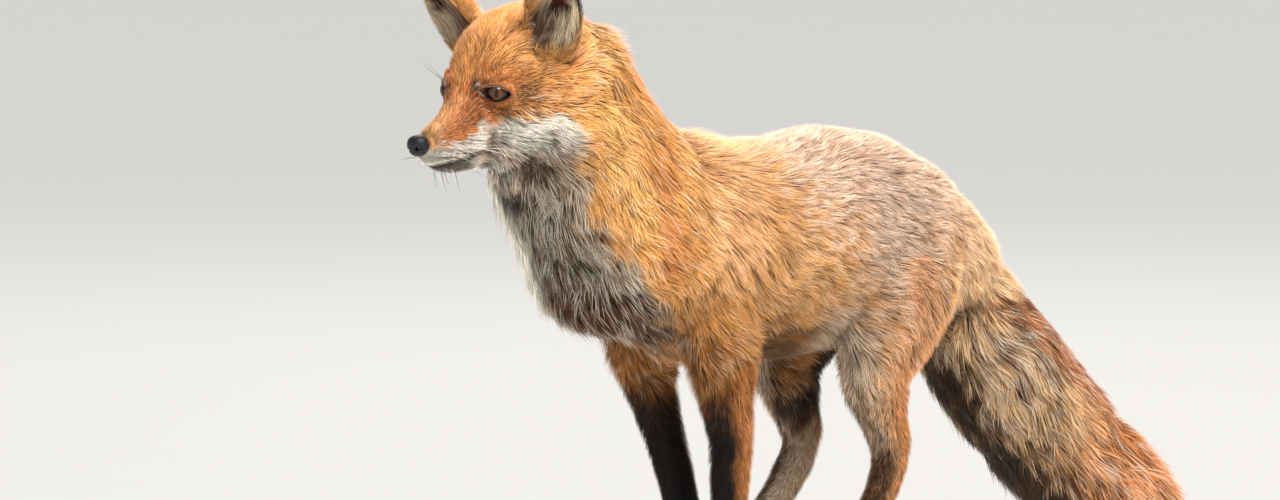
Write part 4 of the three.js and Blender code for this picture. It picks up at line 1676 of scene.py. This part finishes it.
@dataclass
class CoatPiece:
    """One mesh of tufts over a stretch of the skin."""

    name: str
    kind: TuftKind
    plan: CoatPlan
    markings: Markings
    seed: int
    floor: float = 0.5 * MM
    lock_size: int = 11
    patch: float = 0.003
    sunk: float = 0.5 * MM
    bend: float = 0.42

    RISE = 1.08
    STEEPEST = 0.72
    DRAWN = 0.8
    LEADER_LENGTH = 1.04
    GATHERED = 0.85
    OVER_SKIN = 0.8 * MM

    def sow(self, surface: Surface, owned: Array, density: Array) -> Roots:
        """Places the roots.

        Args:
            surface: the skin.
            owned: the triangles of it that this piece grows on.
            density: tufts per square centimetre at each skin point.

        Returns:
            The roots.
        """
        rng = np.random.default_rng(self.seed)
        triangles = surface.triangles[owned]
        a, b, c = (surface.points[triangles[:, corner]] for corner in range(3))
        area = norms(np.cross(b - a, c - a)) / 2 * 1e4
        wanted = np.cumsum(area * density[triangles].mean(1))
        count = int(wanted[-1])
        picked = np.searchsorted(wanted, (np.arange(count) + rng.random(count)) / count * wanted[-1])
        picked = np.minimum(picked, len(triangles) - 1)
        u, v = rng.random(count), rng.random(count)
        over = u + v > 1
        u, v = np.where(over, 1 - u, u)[:, None], np.where(over, 1 - v, v)[:, None]
        corners = triangles[picked]

        def blend(values: Array) -> Array:
            """Values of the skin's points at the roots."""
            return values[corners[:, 0]] * (1 - u - v) + values[corners[:, 1]] * u + values[corners[:, 2]] * v

        places = blend(surface.points)
        normals = unit(blend(surface.normals))
        shares = self.plan.weights(places)
        lie = self.plan.lie(shares)
        swirl = 0.3 * ripple(places, 45 * MM, 71) + 0.22 * ripple(places, 12 * MM, 72)
        swirl = swirl + rng.normal(0, 0.24, count)
        lie = unit(lie - normals * (lie * normals).sum(1, keepdims=True))
        side = np.cross(normals, lie)
        lie = lie * np.cos(swirl)[:, None] + side * np.sin(swirl)[:, None]
        vary = np.clip(rng.normal(1, 0.16, count), 0.55, 1.5)
        size = self.plan.measure(shares, "length") * vary * self.near_eyes(places)
        lie, size = self.comb_ears(places, normals, lie, size)
        width = self.plan.measure(shares, "width") * MM * rng.uniform(0.75, 1.3, count)
        depth = self.plan.measure(shares, "depth") * MM * vary
        clump = self.plan.measure(shares, "clump")
        return Roots(places, normals, shares, lie, size * MM, width, depth, clump, rng.random(count))

    def comb_ears(self, places: Array, normals: Array, lie: Array, size: Array) -> tuple[Array, Array]:
        """Lengthens the hair at the edges of the ears' cups and combs it across them.

        Args:
            places: the roots.
            normals: the skin's directions there.
            lie: the ways that the tufts lie.
            size: the tufts' lengths in millimetres.

        Returns:
            The new ways and lengths.
        """
        if self.name != "coat_ears":
            return lie, size
        cup, across, high, _ = self.markings.ear_masks(places, normals)
        for ear in self.markings.ears:
            own = (places[:, 0] > self.markings.marks.head_at[0]) == (SIDES[ear.side] > 0)
            low = smooth(0.85, 0.5, high) * own
            inner = cup * smooth(-0.3, -0.55, across) * low
            outer = cup * smooth(0.4, 0.65, across) * low
            lie = lie + (ear.world(0.75, 0.35, 0.75) - lie) * inner[:, None]
            lie = lie + (ear.world(-0.7, 0.3, 0.8) - lie) * outer[:, None]
            base = cup * smooth(0.4, 0.25, high) * own
            lie = lie + (ear.world(0.25, 0.3, 0.9) - lie) * base[:, None] * 0.8
            size = size * (1 + 1.7 * inner + 0.9 * outer + 1.6 * base)
        return unit(lie), size

    def near_eyes(self, places: Array) -> Array:
        """How much shorter the hair is close to an eye, from about 0.4 to 1."""
        marks = self.markings.marks
        eyes = [marks.centre(f"eye_{side}") for side in SIDES]
        away = np.min([norms(places - eye) for eye in eyes], axis=0)
        return 0.4 + 0.6 * smooth(11 * MM, 26 * MM, away)

    def tips(self, roots: Roots) -> tuple[Array, Array]:
        """Where the tufts end, drawn together into locks, and each tuft's lock as a chance from 0 to 1."""
        rise = np.minimum(roots.depth * self.RISE, roots.length * self.STEEPEST)
        reach = np.sqrt(roots.length ** 2 - rise ** 2)
        own = roots.lie * reach[:, None] + roots.normals * rise[:, None]
        rng = np.random.default_rng(self.seed + 1)
        count = max(len(own) // self.lock_size, 8)
        leaders = rng.choice(len(own), count, replace=False)
        tree = kdtree.KDTree(count)
        for index, leader in enumerate(leaders):
            tree.insert(roots.places[leader], index)
        tree.balance()
        nearest = np.array([tree.find(place)[1] for place in roots.places])
        leader = leaders[nearest]
        offset = roots.places - roots.places[leader]
        drawn = own[leader] * self.LEADER_LENGTH - offset * self.GATHERED
        share = (roots.clump * self.DRAWN)[:, None]
        return roots.places + own * (1 - share) + drawn * share, roots.chance[leader]

    def build(self, surface: Surface, owned: Array, density: Array) -> bpy.types.Object:
        """Makes the piece's mesh with its colours and its unwrap."""
        roots = self.sow(surface, owned, density)
        tips, lock = self.tips(roots)
        spare = 0.5 * MM + roots.depth * (0.2 * roots.chance + 0.5 * roots.chance ** 4)
        spare = np.maximum(spare, surface.flesh.sample(roots.places) + self.OVER_SKIN)
        tips = surface.flesh.kept_within(tips, spare)
        forward = unit(tips - roots.places)
        side = unit(np.cross(roots.normals, forward))
        up = np.cross(forward, side)
        base = roots.places - roots.normals * self.sunk
        half = (side * roots.width[:, None]) * 0.5
        ridge = up * roots.width[:, None] * 0.35
        if self.kind is TuftKind.SPIKE:
            middle, level = base, 0.0
        else:
            rise = ((tips - roots.places) * roots.normals).sum(1, keepdims=True) * roots.normals
            middle, level = roots.places + (tips - roots.places - rise) * self.bend + rise * 0.7, self.bend
            middle = surface.flesh.kept_within(middle, spare)
        points = [middle + half, middle - half, middle + ridge, tips]
        normals = [unit(up + 0.55 * side), unit(up - 0.55 * side), up, unit(up + 0.3 * forward)]
        along = [np.full(len(base), level)] * 3 + [np.ones(len(base))]
        if self.kind is TuftKind.LOCK:
            points.append(base)
            normals.append(up)
            along.append(np.zeros(len(base)))
        stride = len(points)
        vertices = np.stack(points, axis=1).reshape(-1, 3)
        vertices[:, 2] = np.maximum(vertices[:, 2], self.floor)
        piece = solid(self.name, vertices, self.faces(len(base), stride))
        soft = unit(np.stack(normals, axis=1) * 0.7 + roots.normals[:, None] * 0.4).reshape(-1, 3)
        piece.data.normals_split_custom_set_from_vertices(soft)
        seen = roots.places + (tips - roots.places) * (0.1 if self.name == "coat_ears" else 0.6)
        colour, frost = self.markings.paint(seen, roots.normals, self.plan.weights(seen))
        colour = colour * (0.8 + 0.4 * lock)[:, None]
        store(piece, "marking", with_alpha(np.repeat(colour, stride, axis=0)))
        run = np.stack(along, axis=1).reshape(-1)
        strand = np.stack([run, np.repeat(roots.chance, stride), np.repeat(frost, stride)], axis=1)
        store(piece, "strand", strand)
        self.unwrap(piece, roots, run, stride)
        return piece

    def faces(self, count: int, stride: int) -> Array:
        """Faces of all tufts, each closed."""
        start = (np.arange(count) * stride)[:, None]
        corners = [(0, 2, 3), (2, 1, 3), (1, 0, 3)]
        corners += [(0, 1, 2)] if self.kind is TuftKind.SPIKE else [(2, 0, 4), (1, 2, 4), (0, 1, 4)]
        return np.concatenate([start + np.array(face) for face in corners])

    def unwrap(self, piece: bpy.types.Object, roots: Roots, along: Array, stride: int) -> None:
        """Lays each tuft's patch at its root's place on an unwrap of the skin round the body's lines."""
        zones = self.plan.zones
        owners = [index for index, zone in enumerate(zones) if zone.piece == self.name]
        owner = np.array(owners)[roots.shares[:, owners].argmax(1)]
        spot = np.zeros((len(roots.places), 2))
        for strip, index in enumerate(owners):
            mine = owner == index
            if not mine.any():
                continue
            zone = zones[index]
            axis = unit(zone.end - zone.start)
            offset = roots.places[mine] - zone.start
            run = offset @ axis
            first = unit(np.cross(axis, np.array([0.9, 0.1, 0.4])))
            turn = np.arctan2(offset @ np.cross(axis, first), offset @ first) / (2 * math.pi) + 0.5
            reach = (run - run.min()) / max(float(np.ptp(run)), 1e-6)
            spot[mine] = np.stack([(strip + 0.02 + 0.96 * turn) / len(owners), 0.01 + 0.98 * reach], axis=1)
        across = np.array([0.5, -0.5, 0.0, 0.0, 0.0])[:stride]
        place = np.repeat(spot, stride, axis=0)
        place[:, 0] += np.tile(across, len(spot)) * self.patch
        place[:, 1] += (along - 0.5) * self.patch
        corners = np.empty(len(piece.data.loops), np.int32)
        piece.data.loops.foreach_get("vertex_index", corners)
        layer = piece.data.uv_layers.new(name="OFBake")
        layer.data.foreach_set("uv", place[corners].astype(np.float32).ravel())


class Coat:
    """All tufts of the fox."""

    LOCKS = ("coat_neck", "coat_ruff", "coat_chest", *COAT_SLOTS["coat_brush"])
    THINNING = 0.96

    def __init__(self, plan: CoatPlan, markings: Markings, surface: Surface) -> None:
        """Keeps what the coat grows from."""
        self.plan = plan
        self.markings = markings
        self.surface = surface

    def build(self) -> list[bpy.types.Object]:
        """Makes every coat piece."""
        shares = self.plan.weights(self.surface.points)
        density = self.plan.measure(shares, "density") * (1 - smooth(0.3, 0.7, self.surface.bare))
        *_, deep = self.markings.ear_masks(self.surface.points, self.surface.normals)
        density = density * self.THINNING * (1 - 0.9 * deep * self.plan.share(shares, "coat_ears"))
        piece_of = self.plan.piece_of(shares)[self.surface.triangles[:, 0]]
        pieces = []
        for index, name in enumerate(self.plan.pieces):
            kind = TuftKind.LOCK if name in self.LOCKS else TuftKind.SPIKE
            maker = CoatPiece(name, kind, self.plan, self.markings, seed=100 + 10 * index)
            piece = maker.build(self.surface, np.nonzero(piece_of == index)[0], density)
            LOG.info("%s: %d triangles", name, len(piece.data.polygons))
            pieces.append(piece)
        return pieces


# ---- Eyes, nose, claws, pads and whiskers ----


@dataclass
class Eyeball:
    """A wet eyeball with a raised cornea."""

    lids: Eyelids
    rows: int = 72
    columns: int = 96
    cornea: float = 0.5 * MM
    slack: float = 0.2 * MM

    def build(self) -> bpy.types.Object:
        """Makes the eyeball, with the gaze's own coordinates stored on it."""
        ball = sphere(self.rows, self.columns)
        bulge = smooth(0.75, 0.3, norms(ball[:, :2])) * (ball[:, 2] > 0)
        radius = self.lids.radius - self.slack + self.cornea * bulge
        points = self.lids.centre + ball * radius[:, None] @ self.lids.axes
        quads = grid_faces(self.rows, self.columns)
        if SIDES[self.lids.side] > 0:
            quads = quads[:, ::-1]
        piece = solid(f"eyeball_{self.lids.side}", points, NO_TRIANGLES, quads)
        cos, sin = math.cos(self.lids.slant), math.sin(self.lids.slant)
        out, up, ahead = ball.T
        level = np.stack([out * cos - up * sin, out * sin + up * cos, ahead], axis=1)
        level[:, :2] += (ball[:, 2:] < 0) * 2.0
        store(piece, "gaze", level)
        return piece


@dataclass
class Nose:
    """The nose pad, with comma-shaped nostrils and a groove down its middle."""

    marks: Landmarks
    rows: int = 90
    columns: int = 140
    radii: Triple = (8.9, 7.9, 8.4)

    NOSTRIL = (0.50, -0.84, -0.10)
    SLIT = (0.84, -0.48, -0.22)

    @staticmethod
    def from_pair(way: Array, place: Triple, stretch: Triple = (1, 1, 1)) -> Array:
        """Distance to the nearer of two places of the unit sphere, mirrored left and right."""
        side, ones = np.sign(way[:, 0]), np.ones(len(way))
        places = np.stack([side * place[0], ones * place[1], ones * place[2]], axis=1)
        return norms((way - places) * stretch)

    def build(self) -> bpy.types.Object:
        """Makes the nose pad."""
        way = sphere(self.rows, self.columns)[:, [0, 2, 1]]
        shape = np.sign(way) * np.abs(way) ** 0.86
        out, front, up = np.abs(way[:, 0]), -way[:, 1], way[:, 2]
        size = np.ones(len(way))
        size -= 0.10 * smooth(0.1, -0.9, up) * (0.4 + out)
        size += 0.05 * smooth(0.2, 0.8, up)
        hole = self.from_pair(way, self.NOSTRIL)
        wing = self.from_pair(way, self.SLIT, (1, 1, 2.2))
        size -= 0.42 * np.exp(-(hole / 0.17) ** 2) + 0.2 * np.exp(-(wing / 0.26) ** 2)
        groove = np.exp(-(way[:, 0] / 0.06) ** 2) * smooth(0.35, -0.1, up) * smooth(0.0, 0.4, front)
        size -= 0.07 * groove
        local = shape * size[:, None] * np.array(self.radii)
        centre = self.marks.from_head(self.marks.centre("nose")[None])[0]
        points = self.marks.head_at + (local + centre) * MM @ self.marks.head_axes
        quads = grid_faces(self.rows, self.columns)
        return solid("nose_pad", points, NO_TRIANGLES, quads)


@dataclass
class Paws:
    """Claws and sole pads of the four paws."""

    marks: Landmarks
    claw_length: float = 11.0
    lengths: dict[str, float] = field(default_factory=lambda: {"fore": 55.0, "hind": 54.0})

    def toes(self) -> list[tuple[float, float, float, float]]:
        """Each toe's X and Y, its number from its paw's middle, and its paw's length, in millimetres."""
        found = []
        for pair, length in self.lengths.items():
            for side in SIDES:
                low, high = (corner / MM for corner in self.marks.boxes[f"{pair}_paw_{side}"])
                width = high[0] - low[0]
                middle = (low[0] + high[0]) / 2
                y = low[1] + self.claw_length + 0.54 * length
                for k in (-1.5, -0.5, 0.5, 1.5):
                    toe_y = y - length * (0.16 if abs(k) > 1 else 0.3)
                    found.append((middle + k * width * 0.235, toe_y, k, length))
        return found

    def claws(self) -> bpy.types.Object:
        """All claws as one piece."""
        parts = []
        for x, toe_y, _, length in self.toes():
            claw_y = toe_y - length * 0.24
            t = np.linspace(0, 1, 8)
            ahead = claw_y + 2 - t * (self.claw_length + 1.4)
            up = 9.0 + 1.0 * np.sin(t * math.pi) - 4.6 * t ** 2
            path = np.stack([np.full(8, x), ahead, up], axis=1) * MM
            radii = (2.0 * (1 - t) ** 0.7 + 0.25) * MM
            parts.append(tube(path, radii, 10))
        return solid("claws", *gathered(parts))

    def pads(self) -> bpy.types.Object:
        """All toe and heel pads as one piece."""
        parts = []
        for x, toe_y, k, length in self.toes():
            parts.append(self.pad((x, toe_y - 3, 3.4), (4.6, 6.4, 3.0)))
            if k == 0.5:
                heel_y = toe_y + length * 0.36
                parts.append(self.pad((x - 4.6, heel_y, 3.4), (9.5, 7.5, 3.0)))
        return solid("paw_pads", *gathered(parts))

    @staticmethod
    def pad(centre: Triple, radii: Triple) -> tuple[Array, Array, Array]:
        """One rounded pad."""
        t = np.linspace(0.02, math.pi - 0.02, 12)
        path = np.stack([0 * t, -np.cos(t), 0 * t], axis=1)
        points, triangles, quads = tube(path, np.sin(t), 20)
        return (points * np.array(radii) + np.array(centre)) * MM, triangles, quads


@dataclass
class Whiskers:
    """Long stiff hairs of the muzzle, brows and chin."""

    marks: Landmarks
    radius: float = 0.26 * MM

    def hair(self, start: Triple, way: Triple, length: float, droop: float) -> tuple[Array, Array, Array]:
        """One whisker in the head's frame, in millimetres."""
        t = np.linspace(0, 1, 9)[:, None]
        way_out = np.array(way) / np.linalg.norm(way)
        path = np.array(start) + way_out * length * t + np.array([0, 0.12 * length, -droop * length]) * t ** 2
        points = self.marks.head_at + path * MM @ self.marks.head_axes
        radii = self.radius * (1 - 0.85 * t[:, 0])
        return tube(points, radii, 5)

    def build(self) -> list[bpy.types.Object]:
        """Makes the dark and the pale whiskers."""
        rng = np.random.default_rng(17)
        dark, pale = [], []
        for sign in SIDES.values():
            for row in range(4):
                for place in range(5):
                    y = -56 + place * 6.5 + rng.uniform(-1.5, 1.5)
                    start = (sign * (9.5 + place * 1.5), y, -25 - row * 4.0)
                    way = (sign * rng.uniform(0.5, 0.9), rng.uniform(0.1, 0.8), rng.uniform(-0.45, 0.1))
                    hair = self.hair(start, way, rng.uniform(22, 52), rng.uniform(0.05, 0.3))
                    (dark if rng.random() < 0.55 else pale).append(hair)
            for brow in range(2):
                start = (sign * (20 + brow * 2.5), -12 + brow * 3, 13)
                way = (sign * rng.uniform(0.2, 0.6), -0.5, rng.uniform(0.5, 0.8))
                dark.append(self.hair(start, way, rng.uniform(18, 28), -0.1))
            for chin in range(5):
                start = (sign * rng.uniform(2, 9), -58 + chin * 7, -50)
                way = (sign * rng.uniform(0.0, 0.25), rng.uniform(-0.1, 0.3), -1)
                (dark if chin % 2 else pale).append(self.hair(start, way, rng.uniform(12, 22), 0.0))
        return [solid("whiskers_dark", *gathered(dark)), solid("whiskers_pale", *gathered(pale))]


# ---- Studio ----


@dataclass(frozen=True)
class Lamp:
    """A square softbox that faces the fox: metres, watts and a tint."""

    name: str
    place: Triple
    size: float
    power: float
    tint: Triple

    AIM = (0, -0.1, 0.3)

    def build(self) -> None:
        """Hangs the lamp."""
        data = bpy.data.lights.new(self.name, "AREA")
        data.size = self.size
        data.energy = self.power
        data.color = self.tint
        lamp = bpy.data.objects.new(self.name, data)
        lamp.location = self.place
        aim = Vector(self.place) - Vector(self.AIM)
        lamp.rotation_euler = aim.to_track_quat("Z", "Y").to_euler()
        bpy.context.scene.collection.objects.link(lamp)


@dataclass
class Studio:
    """Floor, lamps and camera."""

    marks: Landmarks
    azimuth: float = math.radians(50)
    elevation: float = math.radians(4)
    distance: float = 6.0
    lens: float = 210.94
    target: Triple = (-3.86, 171.9, -130.5)
    floor_radius: float = 60.0
    sides: int = 96
    world_strength: float = 0.5

    RINGS = (0.004, 0.01, 0.03, 0.1, 0.3, 1.0)
    LAMPS = (
        Lamp("key", (2.4, -0.5, 3.7), 1.8, 205.0, (1.0, 0.97, 0.92)),
        Lamp("fill", (1.4, -3.6, 1.2), 2.4, 10.0, (0.95, 0.97, 1.0)),
        Lamp("rim", (-2.0, 1.9, 2.8), 1.6, 80.0, (1.0, 0.96, 0.9)),
    )

    def camera(self) -> None:
        """Sets the camera on the fox's left front, a little above it."""
        data = bpy.data.cameras.new("camera")
        data.lens = self.lens
        data.sensor_width = 36.0
        data.clip_end = 400.0
        camera = bpy.data.objects.new("camera", data)
        target = Vector(self.marks.head_at + np.array(self.target) * MM)
        level = math.cos(self.elevation)
        out, ahead = math.sin(self.azimuth) * level, math.cos(self.azimuth) * level
        way = Vector((out, -ahead, math.sin(self.elevation)))
        camera.location = target + way * self.distance
        camera.rotation_euler = way.to_track_quat("Z", "Y").to_euler()
        bpy.context.scene.collection.objects.link(camera)
        bpy.context.scene.camera = camera

    def floor(self) -> bpy.types.Object:
        """Makes the floor, in rings that grow outward."""
        turn, count = turns(self.sides), self.sides
        ring = np.stack([np.cos(turn), np.sin(turn), 0 * turn], axis=1) * self.floor_radius
        rings = [ring * share for share in self.RINGS]
        points = np.concatenate([np.zeros((1, 3)), *rings])
        index = np.arange(count)
        first = np.stack([np.zeros(count, int), 1 + index, 1 + (index + 1) % count], axis=1)
        return solid("studio_floor", points, first, grid_faces(len(rings), count)[:, ::-1] + 1)

    def build(self) -> None:
        """Makes the floor, world and lamps."""
        finish = FloorFinish()
        floor = self.floor()
        floor.data.materials.append(finish.material())
        world = bpy.data.worlds.new("studio")
        world.use_nodes = True
        background = world.node_tree.nodes["Background"]
        background.inputs["Color"].default_value = (*finish.tone, 1.0)
        background.inputs["Strength"].default_value = self.world_strength
        bpy.context.scene.world = world
        for lamp in self.LAMPS:
            lamp.build()


def dress(piece: bpy.types.Object, material: bpy.types.Material) -> None:
    """Gives a piece its material and its body."""
    piece.data.materials.append(material)
    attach(piece, "root")
    LOG.info("%s done", piece.name)


def main() -> None:
    """Builds the fox in its studio."""
    logging.basicConfig(level=logging.INFO, format="%(relativeCreated)d %(message)s")
    for thing in list(bpy.data.objects):
        bpy.data.objects.remove(thing)
    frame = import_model()
    bpy.context.scene.view_settings.view_transform = "Standard"
    marks = Landmarks(frame["nodes"])
    studio = Studio(marks)
    studio.camera()
    plan = CoatPlan(marks)
    markings = Markings(marks, plan)
    skin, surface = Skin(marks, plan, markings).build()
    dress(skin, SkinFinish().material())
    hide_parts(*(name for name in frame["nodes"] if name not in SEPARATE))
    coat = CoatFinish().material()
    for piece in Coat(plan, markings, surface).build():
        dress(piece, coat)
    eye = EyeFinish().material()
    for side in SIDES:
        ball = Eyeball(Eyelids(marks, side)).build()
        dress(ball, eye)
        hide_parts(f"eye_{side}")
    nose = Nose(marks).build()
    dress(nose, LeatherFinish("fox_nose", (0.006, 0.006, 0.008), 0.26).material())
    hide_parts("nose")
    paws = Paws(marks)
    dress(paws.claws(), HornFinish().material())
    dress(paws.pads(), LeatherFinish("fox_pads", (0.03, 0.026, 0.024), 0.6).material())
    dark, pale = Whiskers(marks).build()
    dress(dark, HairFinish("whisker_dark", Tone.EAR_BACK, Tone.UMBER).material())
    dress(pale, HairFinish("whisker_pale", Tone.CREAM, Tone.WHITE).material())
    studio.build()


if __name__ == "__main__":
    main()
